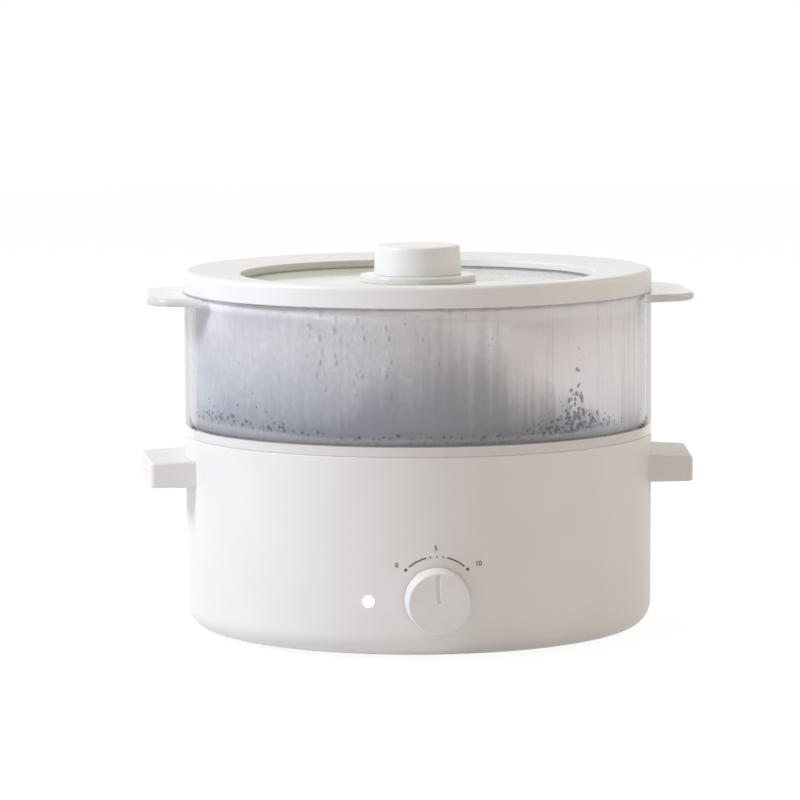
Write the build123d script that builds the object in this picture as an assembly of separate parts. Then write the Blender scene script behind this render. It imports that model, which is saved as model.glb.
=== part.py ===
from build123d import *
import os
from math import cos, radians, sin, sqrt

# Electric hot pot with a lift-off steamer tier and a lift-off glass lid.
# Everything is drawn round the pot's axis. At the end the whole is moved so that the origin is the
# middle of the ground it covers, in the plane that the rubber feet stand on.
# +Z is up, the control knob faces -Y and the handles are on +X and -X. Millimetres.

# Outside sizes of the stack: housing, steamer tier, lid
body_r = 120.0
housing_draft = 0.6      # the housing is this much smaller in radius at its foot
foot_lift = 2.0          # lowest edge of the housing above the table
housing_h = 99.1
steamer_h = 72.9
lid_h = 11.4
shell_wall = 3.0
bottom_corner = 11.3
seam_round = 0.6         # small rounding of both edges at each seam

# The stacking joint: a locating rib under each tier drops inside the rim of the one below
rib_h = 5.0
rib_wall = 2.4
stack_gap = 0.6

# Pot and its seat in the housing
pot_wall = 2.2
pot_floor_wall = 3.5
pot_floor_lift = 47.0    # from the housing's lowest edge up to the pot's floor: room for the switch below
pot_corner = 18.0
pot_draft = 1.0
pot_air = 5.4            # from the housing's inner wall to the pot's outer wall
pot_flange = 2.0
flange_drop = 0.8        # from the locating rib down to the pot's flange
seal_h = 0.8
ledge_wall = 2.6
pot_slack = 0.6          # between the pot's wall and the ledge round it

# Heater and what hangs under the pot's floor
bead_r = 62.0
bead_w = 14.0
bead_h = 8.0
bead_arc = 300.0
tube_r = 3.3
tube_lead = 10.0         # degrees of tube that show past each end of the bead
pin_lead = 8.0           # degrees of pin past each end of the tube
pin_r = 1.3
post_h = 11.5            # posts under the pot that carry the heat shield
post_r = 4.5
post_circle = 84.0
post_angles = (90, 210, 330)
shield_t = 0.8
shield_r = 92.0
shield_skirt = 4.0
shield_eye = 7.0         # the shield's hole is this much larger than the circle of the limiter's posts
lead_window_r = 8.0
lead_window_angles = (74, 106)
tab_w = 14.0
rib_angles = (0, 35, 145, 180, 215, 325)
side_rib_t = 2.5
limiter_r = 8.2
limiter_h = 8.0
limiter_blade = (6.2, 8.0, 0.8)
limiter_post = 21.0      # half the distance between the bracket's two posts
limiter_post_r = 3.4
bracket_w = 10.0
bracket_t = 0.8
fuse_r = 2.3
fuse_l = 14.0
fuse_lead = (0.6, 9.0)   # radius, length
fuse_boss = (4.0, 2.0)   # radius, height
fuse_y = -38.0
clip_w = 8.0
clip_t = 0.6
clip_reach = 11.0        # from the fuse to the clip's screw

# Screws: shank radius, head radius, head height
screw_4 = (1.9, 3.6, 2.4)
screw_3 = (1.4, 2.8, 1.9)
thread_gap = 0.1
hole_gap = 0.3           # radial clearance of a plain hole for a screw
shield_screw_l = 8.0
limiter_screw_l = 6.0
fuse_screw_l = 3.4
cover_screw_l = 14.0

# Control knob and switch
dial_z = 31.0
knob_r = 16.0
knob_face_r = 15.3
knob_l = 14.5
knob_gap = 0.6           # between the knob and the housing
knob_wall = 2.6
knob_hub_r = 5.6
pointer_w = 1.6
pointer_deep = 0.8
pointer_turn = 5.0       # degrees that the pointer stands left of upright at rest
shaft_r = 3.0
shaft_flat = 1.8         # from the shaft's axis to its flat
running_gap = 0.05
switch_tab = (6.3, 0.8, 8.0)
switch_tab_places = ((-6.5, 6), (6.5, 6), (0, -6))
switch_w = 26.0
switch_deep = 18.0
switch_h = 24.0
bush_r = 4.5
bush_l = 9.0
nut_flats = 12.0
nut_t = 2.4
spot_r = 9.5
pad_margin = 2.0         # the switch's pad stands out this far past the switch
pad_depth = 3.0          # from the inside of the housing's wall to the pad's face

# Indicator
lamp_turn = 16.2         # degrees left of the knob
lamp_z = 29.8
lens_r = 2.8
lens_flange = 1.0
lens_proud = 0.3
lamp_r = 1.5
lamp_l = 5.6
board_t = 1.6
board_w = 18.0
board_h = 14.0
board_post_r = 1.8
board_post = 6.6         # half the distance between the board's posts

# Power inlet, at the back
inlet_z = 25.0
inlet_w = 31.0
inlet_h = 23.0
inlet_deep = 16.0
inlet_wall = 3.2
inlet_flange = 8.0
flange_t = 2.6
inlet_pin = (2.0, 4.0, 14.0)
inlet_screw_x = 19.4
inlet_pad = 4.0

# Side handles
handle_reach = 142.5     # at the corner towards the back
handle_front_reach = 138.5
handle_w = 66.0
handle_tip_w = 62.0
handle_drop = 10.1       # from the housing's top down to the handle's
handle_h = 14.3
handle_fall = 1.7        # the top is this much lower at the tip
handle_wall = 2.6
handle_round = 1.4
handle_corner = 2.5
handle_boss_r = 4.4
handle_boss_end = 7.4    # solid end of the screw boss past its pilot hole
handle_screw_y = 18.0
screw_end_gap = 1.0      # from a screw's end to the end of its pilot hole

# Steamer tier and its tray
tray_lift = 5.5          # seat of the tray above the lower edge of the tier
tray_t = 1.2
tray_rim = 2.4
hole_r = 3.6
hole_circles = (0.0, 26.0, 46.0, 66.0, 86.0)
hole_counts = (1, 6, 12, 18, 24)
tab_reach = 140.0
tab_root = 94.0
tab_tip = 72.0
tab_corner = 20.0
tab_t = 4.0
tab_drop = 0.4
tab_round = 1.7

# Lid
lid_open_r = 90.9
lid_dish = 2.4           # the ring's inner edge is this much lower than its outer edge
lid_edge = 2.5
lid_wall = 2.6
glass_drop = 4.2         # from the ring's inner edge down to the glass
glass_t = 4.0
glass_grip = 3.6         # how far the glass reaches under the ring
gasket_t = 0.8
lip_w = 2.6
glass_hole_r = 4.0
seat_r = 30.0
seat_h = 3.3
lid_knob_r = 22.5
lid_knob_top_r = 21.8
lid_knob_h = 15.0
lid_knob_round = 1.6
lid_knob_wall = 2.4
lid_boss_r = 5.5
lid_screw_in = 9.0
glass_washer = (9.0, 1.5)
steel_washer = (8.0, 1.0)

# Bottom cover and feet
lip_r = 107.9            # opening in the housing's floor
cover_gap = 0.3
cover_t = 2.4
cover_recess = 0.6
cover_rim = 6.4
cover_boss_r = 4.2
cover_boss_circle = 99.5
cover_boss_top = 28.0
cover_screw_angles = (20, 160, 200, 340)
cup_r = 6.0
cup_deep = 3.0
foot_r = 7.0
foot_circle = 88.0
foot_angles = (50, 130, 230, 310)
foot_sink = 0.6
foot_edge = 0.8
vent_circles = (46.0, 64.0)
vent_counts = (16, 24)
vent_l = 13.0
vent_w = 3.0

# Terminal block
block_size = (34.0, 16.0, 11.0)
block_at = (-42.0, 36.0)
well_r = 2.4
well_pitch = 10.5
wire_r = 1.6

# Heights and radii that follow
housing_top = foot_lift + housing_h
steamer_top = housing_top + steamer_h
lid_top = steamer_top + lid_h
rim_r = body_r - shell_wall
rib_r = rim_r - stack_gap
rib_in_r = rib_r - rib_wall
handle_low = housing_top - handle_drop - handle_h
flange_top = housing_top - rib_h - flange_drop
flange_low = flange_top - pot_flange
ledge_top = flange_low - seal_h
pot_r = rim_r - pot_air
pot_floor = foot_lift + pot_floor_lift
pot_under = pot_floor - pot_floor_wall
shield_top = pot_under - post_h
cover_low = foot_lift + cover_recess
cover_top = cover_low + cover_t
cup_top = cover_low + cup_deep + cover_t
lid_inner = lid_top - lid_dish
glass_top = lid_inner - glass_drop
glass_low = glass_top - glass_t
glass_r = lid_open_r + glass_grip
seat_top = glass_top + seat_h
tray_seat = housing_top + tray_lift


def wall_r(z):
    """Outer radius of the housing at height z."""
    return body_r - housing_draft * (housing_top - z) / housing_h


def turned(*corners):
    """Solid turned about Z from (radius, height, rounding) corners."""
    outline = FilletPolyline(
        *[(r, z) for r, z, _ in corners], radius=[rounding for _, _, rounding in corners], close=True
    )
    return revolve(Plane.XZ * make_face(outline), Axis.Z)


def disc(r, low, high, hole=0.0):
    """Upright disc or ring between two heights."""
    solid = extrude(Circle(r), high - low)
    if hole:
        solid -= extrude(Circle(hole), high - low)
    return Pos(0, 0, low) * solid


def block(x, y, z):
    """Box from three (low, high) pairs."""
    size = [high - low for low, high in (x, y, z)]
    return Pos(x[0], y[0], z[0]) * Box(*size, align=(Align.MIN, Align.MIN, Align.MIN))


def round_box(w, h, corner, thickness):
    """Plate with rounded corners, lying on XY and centred on its lower face."""
    return extrude(RectangleRounded(w, h, corner), thickness)


def polar(radius, angles):
    """Upright places round the axis, each turned to face outwards."""
    return [Rot(0, 0, angle) * Pos(radius, 0, 0) for angle in angles]


def frontal(x, z, y):
    """Place whose local Z points to the front (-Y) from the plane at y, with local Y up."""
    return Plane(origin=(x, y, z), x_dir=(1, 0, 0), z_dir=(0, -1, 0)).location


def rearward(x, z, y):
    """Place whose local Z points to the back (+Y) from the plane at y, with local Y up."""
    return Plane(origin=(x, y, z), x_dir=(-1, 0, 0), z_dir=(0, 1, 0)).location


def lamp_place(radius):
    """Place on the lamp's axis at this radius, with local Z pointing out of the housing."""
    out = (-sin(radians(lamp_turn)), -cos(radians(lamp_turn)), 0)
    origin = (radius * out[0], radius * out[1], lamp_z)
    return Plane(origin=origin, x_dir=(-out[1], out[0], 0), z_dir=out).location


def screw(kind, length):
    """Pan-head screw that points up, with the top of its head's underside at the origin."""
    shank, head, head_h = kind
    pan = chamfer(extrude(Circle(head), -head_h).edges().sort_by(Axis.Z)[0], head_h * 0.35)
    return pan + extrude(Circle(shank), length)


def group(solids):
    """Several separate solids of one node."""
    return Compound([solid for part in solids for solid in part.solids()])


# Places that more than one piece uses
switch_face = rim_r - housing_draft - pad_depth        # distance of the pad's face from the axis
spot_face = sqrt(wall_r(dial_z) ** 2 - spot_r ** 2) - 0.1
knob_back = wall_r(dial_z) + knob_gap
knob_front = knob_back + knob_l
inlet_seat = sqrt(body_r ** 2 - (inlet_w / 2 + inlet_flange) ** 2) - 0.3
handle_screw_seat = sqrt((rim_r - housing_draft) ** 2 - (handle_screw_y + screw_4[1]) ** 2)


def handle_screw_places(side):
    """Places inside the housing's wall, pointing out through it into the handle."""
    z = handle_low + handle_h / 2
    return [
        Plane(origin=(side * handle_screw_seat, y, z), x_dir=(0, 1, 0), z_dir=(side, 0, 0)).location
        for y in (-handle_screw_y, handle_screw_y)
    ]


def housing_outside():
    """Outer form of the housing as one full solid."""
    low_r = body_r - housing_draft
    return turned(
        (0, foot_lift, 0),
        (low_r, foot_lift, bottom_corner),
        (body_r, housing_top, seam_round),
        (0, housing_top, 0),
    )


def outer_housing():
    low_r = body_r - housing_draft
    shell = turned(
        (lip_r, foot_lift, 0),
        (low_r, foot_lift, bottom_corner),
        (body_r, housing_top, seam_round),
        (rim_r, housing_top, seam_round),
        (rim_r, ledge_top, 0),
        (pot_r + pot_slack, ledge_top, 0.5),
        (pot_r + pot_slack, ledge_top - ledge_wall, 0.5),
        (rim_r - 0.01, ledge_top - ledge_wall, 0),
        (low_r - shell_wall, foot_lift + shell_wall, bottom_corner - shell_wall),
        (lip_r, foot_lift + shell_wall, 0),
    )
    outside = housing_outside()
    # Upright ribs that guide the pot and stop the heat shield's tabs
    half_rib = side_rib_t / 2
    rib = block((pot_r + pot_slack, rim_r), (-half_rib, half_rib), (shield_top, ledge_top - 0.5))
    shell += [Rot(0, 0, angle) * rib & outside for angle in rib_angles]
    # Bosses for the bottom cover, each on a web to the wall
    boss = Pos(cover_boss_circle, 0, 0) * disc(cover_boss_r, cup_top, cover_boss_top)
    web_low = cover_low + cover_rim + 1
    web = block((cover_boss_circle, rim_r), (-half_rib, half_rib), (web_low, cover_boss_top))
    pilot = Pos(cover_boss_circle, 0, 0) * disc(screw_4[0] + thread_gap, cup_top, cover_boss_top - shell_wall)
    shell += [Rot(0, 0, angle) * (boss + web) & outside for angle in cover_screw_angles]
    shell -= [Rot(0, 0, angle) * pilot for angle in cover_screw_angles]
    # Flat pad, bush hole and spot face for the rotary switch
    half_w, half_h = switch_w / 2 + pad_margin, switch_h / 2 + pad_margin
    pad = block((-half_w, half_w), (-rim_r, -switch_face), (dial_z - half_h, dial_z + half_h))
    shell += pad & outside
    shell -= frontal(0, dial_z, -switch_face + 1) * extrude(Circle(bush_r + thread_gap), body_r)
    shell -= frontal(0, dial_z, -spot_face) * extrude(Circle(spot_r), shell_wall)
    # Lamp hole and the posts of its board
    shell += [
        lamp_place(rim_r - lamp_l - 3) * Pos(x, 0, 0) * extrude(Circle(board_post_r), lamp_l + 4) & outside
        for x in (-board_post, board_post)
    ]
    shell -= lamp_place(rim_r - 8) * extrude(Circle(lens_r + thread_gap), 16)
    # Pad, recess and cut-out for the power inlet
    half_w, half_h = inlet_w / 2 + inlet_flange, inlet_h / 2 + inlet_pad
    pad_w, pad_h = half_w + 2, half_h + 2
    pad = block((-pad_w, pad_w), (inlet_seat - inlet_pad, rim_r), (inlet_z - pad_h, inlet_z + pad_h))
    shell += pad & outside
    recess = round_box(2 * half_w + 0.4, 2 * half_h + 0.4, 5.2, shell_wall * 2)
    shell -= rearward(0, inlet_z, inlet_seat) * recess
    shell -= rearward(0, inlet_z, inlet_seat - 9) * round_box(inlet_w + 0.6, inlet_h + 0.6, 2.3, 14)
    for x in (-inlet_screw_x, inlet_screw_x):
        pilot = extrude(Circle(screw_3[0] + thread_gap), inlet_pad)
        shell -= rearward(x, inlet_z, inlet_seat - inlet_pad) * pilot
    # Screw holes of the handles
    for side in (-1, 1):
        for place in handle_screw_places(side):
            shell -= place * Pos(0, 0, -1) * extrude(Circle(screw_4[0] + 2 * thread_gap), shell_wall + 4)
    return shell


def handle_tip(y):
    """How far out the handle's slanted tip is at this y."""
    return handle_front_reach + (handle_reach - handle_front_reach) * (y / handle_tip_w + 0.5)


def handle(side):
    """Hollow block handle, open towards the housing, with two screw bosses."""
    low = handle_low
    root_x = sqrt(body_r ** 2 - (handle_w / 2) ** 2) - 1
    top_root = low + handle_h

    def form(inset):
        profile = Polyline(
            (root_x - 4, low + inset),
            (handle_reach - inset, low + inset),
            (handle_reach - inset, top_root - handle_fall - inset),
            (root_x - 4, top_root - inset),
            close=True,
        )
        side_view = extrude(Plane.XZ * make_face(profile), handle_w / 2, both=True)
        plan = Polyline(
            (root_x - 5, -handle_w / 2 + inset),
            (handle_front_reach - inset, -handle_tip_w / 2 + inset),
            (handle_reach - inset, handle_tip_w / 2 - inset),
            (root_x - 5, handle_w / 2 - inset),
            close=True,
        )
        plan = make_face(plan)
        plan = fillet(plan.vertices().sort_by(Axis.X)[-2:], max(handle_corner - inset, 0.6))
        return side_view & Pos(0, 0, low) * extrude(plan, handle_h + 2)

    outer = form(0)
    rim = [e for e in outer.edges() if e.center().X > root_x - 3 and e.length > 5]
    rim = [e for e in rim if e.geom_type != GeomType.LINE or abs(e.tangent_at(0.5).Z) < 0.9]
    outer = fillet(rim, handle_round)
    shell = outer - form(handle_wall)
    for y in (-handle_screw_y, handle_screw_y):
        boss = Plane(origin=(root_x - 4, y, low + handle_h / 2), x_dir=(0, 1, 0), z_dir=(1, 0, 0)).location
        length = handle_tip(y) - handle_wall - root_x + 4
        shell += boss * extrude(Circle(handle_boss_r), length + 0.5)
        shell -= boss * extrude(Circle(screw_4[0] + thread_gap), length - handle_boss_end)
    shell -= housing_outside()
    return shell if side > 0 else mirror(shell, Plane.YZ)


def handle_screws():
    shortest = min(handle_tip(-handle_screw_y), handle_tip(handle_screw_y))
    length = shortest - handle_wall - handle_boss_end - screw_end_gap - handle_screw_seat
    places = handle_screw_places(-1) + handle_screw_places(1)
    return group([place * screw(screw_4, length) for place in places])


def inner_pot():
    """Cooking pot with its flange, heater bead and mounting posts."""
    in_r = pot_r - pot_wall
    pot = turned(
        (0, pot_under, 0),
        (pot_r - pot_draft, pot_under, pot_corner),
        (pot_r, flange_low, 0.5),
        (rib_r, flange_low, 0.4),
        (rib_r, flange_top, 0.8),
        (in_r, flange_top, 1.4),
        (in_r - pot_draft, pot_floor, pot_corner - pot_wall),
        (0, pot_floor, 0),
    )
    start = 90 + (360 - bead_arc) / 2
    bead_root = pot_floor_wall - 0.5
    bead = Plane.XZ * Pos(bead_r, pot_under + (bead_root - bead_h) / 2) * RectangleRounded(
        bead_w, bead_h + bead_root, 3
    )
    pot += Rot(0, 0, start) * revolve(bead, Axis.Z, bead_arc)
    pot -= tube_arc(tube_r, tube_lead)
    for place in polar(post_circle, post_angles):
        pilot = disc(screw_4[0] + thread_gap, shield_top, pot_under - 2)
        pot += place * (disc(post_r, shield_top, pot_under + 1) - pilot)
    for x in (-limiter_post, limiter_post):
        post = disc(limiter_post_r, pot_under - limiter_h, pot_under + 1)
        pot += Pos(x, 0, 0) * (post - disc(screw_3[0] + thread_gap, pot_under - limiter_h, pot_under - 1))
    boss_r, boss_h = fuse_boss
    pot += Pos(0, fuse_y - clip_reach, 0) * disc(boss_r, pot_under - boss_h, pot_under + 1)
    pot -= Pos(0, fuse_y - clip_reach, 0) * disc(screw_3[0] + thread_gap, pot_under - boss_h, pot_under + 1)
    return pot


def tube_arc(radius, lead):
    """Heater tube along the bead, with this many degrees past each end."""
    start = 90 + (360 - bead_arc) / 2 - lead
    section = Plane.XZ * Pos(bead_r, pot_under - bead_h / 2 - 0.3) * Circle(radius)
    return Rot(0, 0, start) * revolve(section, Axis.Z, bead_arc + 2 * lead)


def heating_element():
    """Sheathed tube in the bead, with a cold pin at each end."""
    return tube_arc(tube_r, tube_lead) + tube_arc(pin_r, tube_lead + pin_lead)


def pot_seal():
    return disc(rim_r - 0.2, ledge_top, flange_low, hole=pot_r + pot_slack + 0.6)


def heat_shield():
    """Plate under the pot whose tabs pull up against the housing's ribs."""
    low = shield_top - shield_t
    plate = disc(shield_r, low, shield_top, hole=limiter_post + shield_eye)
    tab = block((shield_r - 6, rim_r - housing_draft - 1.5), (-tab_w / 2, tab_w / 2), (low, shield_top))
    tab = fillet(tab.edges().filter_by(Axis.Z).sort_by(Axis.X)[-2:], 3)
    plate += [Rot(0, 0, angle) * tab for angle in rib_angles]
    hole = disc(screw_4[0] + hole_gap, low, shield_top)
    plate -= [place * hole for place in polar(post_circle, post_angles)]
    # Windows that the heater's leads come down through
    plate -= [place * disc(lead_window_r, low, shield_top) for place in polar(bead_r, lead_window_angles)]
    # Stiffening ring pressed into the sheet
    plate += disc(shield_r, low - shield_skirt, low, hole=shield_r - shield_t)
    return plate


def shield_screws():
    shield_screw = Pos(0, 0, shield_top - shield_t) * screw(screw_4, shield_screw_l)
    return group([place * shield_screw for place in polar(post_circle, post_angles)])


def limiter():
    """Snap-disc thermostat that opens if the pot's floor overheats."""
    body = disc(limiter_r, pot_under - limiter_h, pot_under)
    body = fillet(body.edges().sort_by(Axis.Z)[-1], 0.8)
    blade_w, blade_l, blade_t = limiter_blade
    blade_low = pot_under - 0.75 * limiter_h - blade_t / 2
    blade = block(
        (-blade_w / 2, blade_w / 2), (limiter_r - 1, limiter_r + blade_l), (blade_low, blade_low + blade_t)
    )
    return body + blade + mirror(blade, Plane.XZ)


def limiter_bracket():
    low = pot_under - limiter_h - bracket_t
    strap = SlotCenterToCenter(2 * limiter_post, bracket_w) - [
        Pos(x, 0) * Circle(screw_3[0] + hole_gap) for x in (-limiter_post, limiter_post)
    ]
    return Pos(0, 0, low) * extrude(strap, bracket_t)


def limiter_screws():
    low = pot_under - limiter_h - bracket_t
    return group([Pos(x, 0, low) * screw(screw_3, limiter_screw_l) for x in (-limiter_post, limiter_post)])


def thermal_fuse():
    """One-shot fuse lying against the pot's floor, with its two leads."""
    axis = Pos(0, fuse_y, pot_under - fuse_r) * Rot(0, 90, 0)
    body = extrude(Circle(fuse_r), fuse_l / 2, both=True)
    body = chamfer(body.edges().filter_by(GeomType.CIRCLE), 0.6)
    lead = extrude(Circle(fuse_lead[0]), fuse_l / 2 + fuse_lead[1], both=True)
    return axis * (body + lead)


def fuse_clip():
    """Sheet hook that holds the fuse against the floor, screwed down at its ear."""
    ear = pot_under - fuse_boss[1]
    low = pot_under - 2 * fuse_r - clip_t
    near, far = fuse_y - fuse_r - 0.1, fuse_y + fuse_r + 0.1
    hook = Polyline(
        (fuse_y - clip_reach - 4, ear - clip_t),
        (near - clip_t, ear - clip_t),
        (near - clip_t, low),
        (far + clip_t, low),
        (far + clip_t, pot_under),
        (far, pot_under),
        (far, low + clip_t),
        (near, low + clip_t),
        (near, ear),
        (fuse_y - clip_reach - 4, ear),
        close=True,
    )
    clip = extrude(Plane.YZ * make_face(hook), clip_w / 2, both=True)
    return clip - Pos(0, fuse_y - clip_reach, 0) * disc(screw_3[0] + hole_gap, ear - clip_t, ear)


def fuse_screw():
    return Pos(0, fuse_y - clip_reach, pot_under - fuse_boss[1] - clip_t) * screw(screw_3, fuse_screw_l)


def rotary_switch():
    """Switch body with the threaded bush that comes through the housing."""
    case = frontal(0, dial_z, -switch_face + switch_deep) * round_box(switch_w, switch_h, 2.0, switch_deep)
    bush = frontal(0, dial_z, -switch_face) * extrude(Circle(bush_r), bush_l)
    bore = frontal(0, dial_z, -switch_face + 6) * extrude(Circle(shaft_r + running_gap), bush_l + 6)
    return case + bush - bore


def switch_terminals():
    """Three tab terminals on the back of the switch."""
    blade = round_box(switch_tab[0], switch_tab[1], 0.3, switch_tab[2])
    back = -switch_face + switch_deep
    return group([rearward(x, dial_z + dz, back) * blade for x, dz in switch_tab_places])


def switch_nut():
    hexagon = RegularPolygon(nut_flats / 2, 6, major_radius=False) - Circle(bush_r + running_gap)
    return frontal(0, dial_z, -spot_face) * extrude(hexagon, nut_t)


def d_section(radius, flat):
    """Round section with one flat."""
    return Circle(radius) & Pos(0, flat - radius) * Rectangle(2 * radius, 2 * radius)


def switch_shaft():
    """Round in the bush, with a flat where the knob grips it."""
    inner = -switch_face + 5.5
    grip = -switch_face - bush_l - 0.6
    end = -knob_front + knob_wall + 1.0
    place = frontal(0, dial_z, inner)
    shaft = place * extrude(Circle(shaft_r), inner - grip)
    turn = Rot(0, 0, pointer_turn)
    return shaft + frontal(0, dial_z, grip) * turn * extrude(d_section(shaft_r, shaft_flat), grip - end)


def control_knob():
    """Cup-shaped knob with a D bore in its hub and a pointer groove in its face."""
    place = frontal(0, dial_z, -knob_back)
    outline = FilletPolyline(
        (0, 0), (knob_r, 0), (knob_face_r, knob_l), (0, knob_l), radius=[0, 0.4, 1.0, 0], close=True
    )
    knob = revolve(Plane.XZ * make_face(outline), Axis.Z)
    hub_low = bush_l - (knob_back - switch_face) + 0.6
    cavity = Circle(knob_face_r - knob_wall) - Circle(knob_hub_r)
    knob -= extrude(cavity, knob_l - knob_wall)
    knob -= extrude(Circle(knob_hub_r), hub_low)
    bore = extrude(d_section(shaft_r + running_gap, shaft_flat + running_gap), knob_l - knob_wall)
    knob -= Rot(0, 0, pointer_turn) * bore
    groove = Pos(0, knob_face_r / 2 - 0.5, knob_l) * Box(pointer_w, knob_face_r - 1.6, 2 * pointer_deep)
    knob -= Rot(0, 0, pointer_turn) * groove
    return place * knob


def indicator_lens():
    """Small domed lens, pushed in from inside the wall against its flange."""
    seat = wall_r(lamp_z) - shell_wall - 0.3
    stem = wall_r(lamp_z) + lens_proud - seat
    outline = FilletPolyline(
        (0, 0), (lens_r, 0), (lens_r, stem), (0, stem), radius=[0, 0, 0.5, 0], close=True
    )
    lens = revolve(Plane.XZ * make_face(outline), Axis.Z) + extrude(Circle(lens_r + 1), -lens_flange)
    return lamp_place(seat) * lens


def lamp_seat():
    """Radius of the lamp board's outer face."""
    return rim_r - lamp_l - 3


def indicator_lamp():
    dome = extrude(Circle(lamp_r), lamp_l - lamp_r) + Pos(0, 0, lamp_l - lamp_r) * Sphere(lamp_r)
    return lamp_place(lamp_seat()) * (dome + extrude(Circle(lamp_r + 0.4), 1.0))


def lamp_board():
    return lamp_place(lamp_seat() - board_t) * round_box(board_w, board_h, 1.0, board_t)


def power_inlet():
    """Appliance inlet: flange, body and the recess that the connector goes into."""
    half_w, half_h = inlet_w / 2 + inlet_flange, inlet_h / 2 + inlet_pad
    body_deep = inlet_deep + inlet_wall - flange_t
    seat = rearward(0, inlet_z, inlet_seat)
    body = seat * round_box(2 * half_w, 2 * half_h, 5.0, flange_t)
    body += rearward(0, inlet_z, inlet_seat - body_deep) * round_box(inlet_w, inlet_h, 2.0, body_deep)
    cavity = round_box(inlet_w - 2 * inlet_wall, inlet_h - 2 * inlet_wall, 2.5, inlet_deep + 1)
    body -= rearward(0, inlet_z, inlet_seat + flange_t - inlet_deep) * cavity
    for x, dz in inlet_pin_places():
        body -= rearward(x, inlet_z + dz, inlet_seat - body_deep) * pin_blade(inlet_deep)
    for x in (-inlet_screw_x, inlet_screw_x):
        body -= rearward(x, inlet_z, inlet_seat) * inlet_screw_form(0.15, flange_t)
    return body


def inlet_pin_places():
    """Two line pins low, the earth pin above them in the middle."""
    return [(-7.0, -2.0), (7.0, -2.0), (0.0, 3.0)]


def pin_blade(length):
    return extrude(Rectangle(inlet_pin[0], inlet_pin[1]), length)


def inlet_pins():
    back = inlet_seat + flange_t - inlet_deep - inlet_wall - 6
    return group(
        rearward(x, inlet_z + dz, back) * pin_blade(inlet_pin[2] + inlet_wall + 6)
        for x, dz in inlet_pin_places()
    )


def inlet_screw_form(gap, depth):
    """Countersunk head and shank below a face at height depth; the origin is on the flange's seat."""
    shank, head, head_h = screw_3
    cone = Pos(0, 0, depth - head_h) * Cone(
        shank + gap, head + gap, head_h, align=(Align.CENTER, Align.CENTER, Align.MIN)
    )
    return cone + Pos(0, 0, depth - head_h) * extrude(Circle(shank + gap), -(depth - head_h))


def inlet_screws():
    solid = inlet_screw_form(0, flange_t) + extrude(Circle(screw_3[0]), -inlet_pad + 0.5)
    return group([rearward(x, inlet_z, inlet_seat) * solid for x in (-inlet_screw_x, inlet_screw_x)])


def terminal_block():
    """Insulating block under the heat shield with three wire clamps."""
    length, width, height = block_size
    body = Box(length, width, height, align=(Align.CENTER, Align.CENTER, Align.MAX))
    body = chamfer(body.edges().filter_by(Axis.Z), 1.0)
    for index in (-1, 0, 1):
        body -= Pos(index * well_pitch, 0, -height) * extrude(Circle(well_r), height - 2)
        wire_hole = Rot(90, 0, 0) * extrude(Circle(wire_r), width, both=True)
        body -= Pos(index * well_pitch, 0, -height / 2) * wire_hole
    return Pos(block_at[0], block_at[1], shield_top - shield_t) * body


def bottom_cover():
    """Vented plate with a stiffening rim, screw cups and shallow seats for the feet."""
    cover_r = lip_r - cover_gap
    plate = turned(
        (0, cover_low, 0),
        (cover_r, cover_low, 0.5),
        (cover_r, cover_low + cover_rim, 0.4),
        (cover_r - cover_t, cover_low + cover_rim, 0.4),
        (cover_r - cover_t, cover_top, 0),
        (0, cover_top, 0),
    )
    for place in polar(cover_boss_circle, cover_screw_angles):
        plate += place * disc(cup_r, cover_low, cup_top)
        plate -= place * disc(screw_4[1] + 0.5, cover_low, cover_low + cup_deep)
        plate -= place * disc(screw_4[0] + hole_gap, cover_low, cup_top)
    for place in polar(foot_circle, foot_angles):
        plate -= place * disc(foot_r + 0.1, cover_low, cover_low + foot_sink)
    for radius, count in zip(vent_circles, vent_counts):
        slot = Pos(0, 0, cover_low) * extrude(Rectangle(vent_l, vent_w), cover_t)
        plate -= [place * slot for place in polar(radius, [index * 360 / count for index in range(count)])]
    return plate


def cover_screws():
    return group(
        place * Pos(0, 0, cover_low + cup_deep) * screw(screw_4, cover_screw_l)
        for place in polar(cover_boss_circle, cover_screw_angles)
    )


def rubber_feet():
    foot = disc(foot_r, 0, cover_low + foot_sink)
    foot = chamfer(foot.edges().sort_by(Axis.Z)[0], foot_edge)
    return group(place * foot for place in polar(foot_circle, foot_angles))


def steamer_ring():
    """Clear tier: wall, tray seat, locating rib and the two lift tabs."""
    ring = turned(
        (rib_in_r, housing_top - rib_h, 0.5),
        (rib_r, housing_top - rib_h, 0.8),
        (rib_r, housing_top, 0),
        (body_r, housing_top, seam_round),
        (body_r, steamer_top, seam_round),
        (rim_r, steamer_top, seam_round),
        (rim_r, tray_seat, 0),
        (rib_in_r, tray_seat, 0.5),
    )
    plan = Polyline(
        (0, -tab_root / 2),
        (sqrt(body_r ** 2 - (tab_root / 2) ** 2), -tab_root / 2),
        (tab_reach, -tab_tip / 2),
        (tab_reach, tab_tip / 2),
        (sqrt(body_r ** 2 - (tab_root / 2) ** 2), tab_root / 2),
        (0, tab_root / 2),
        close=True,
    )
    plan = make_face(plan)
    plan = fillet(plan.vertices().sort_by(Axis.X)[-2:], tab_corner)
    tab = extrude(plan, tab_t)
    rim = [e for e in tab.edges() if e.center().X > body_r - 10 and abs(e.tangent_at(0.5).Z) < 0.5]
    tab = fillet(rim, tab_round)
    tab = Pos(0, 0, steamer_top - tab_drop - tab_t) * tab
    tab -= disc(body_r - shell_wall / 2, steamer_top - tab_drop - tab_t, steamer_top)
    return ring + tab + mirror(tab, Plane.YZ)


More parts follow.
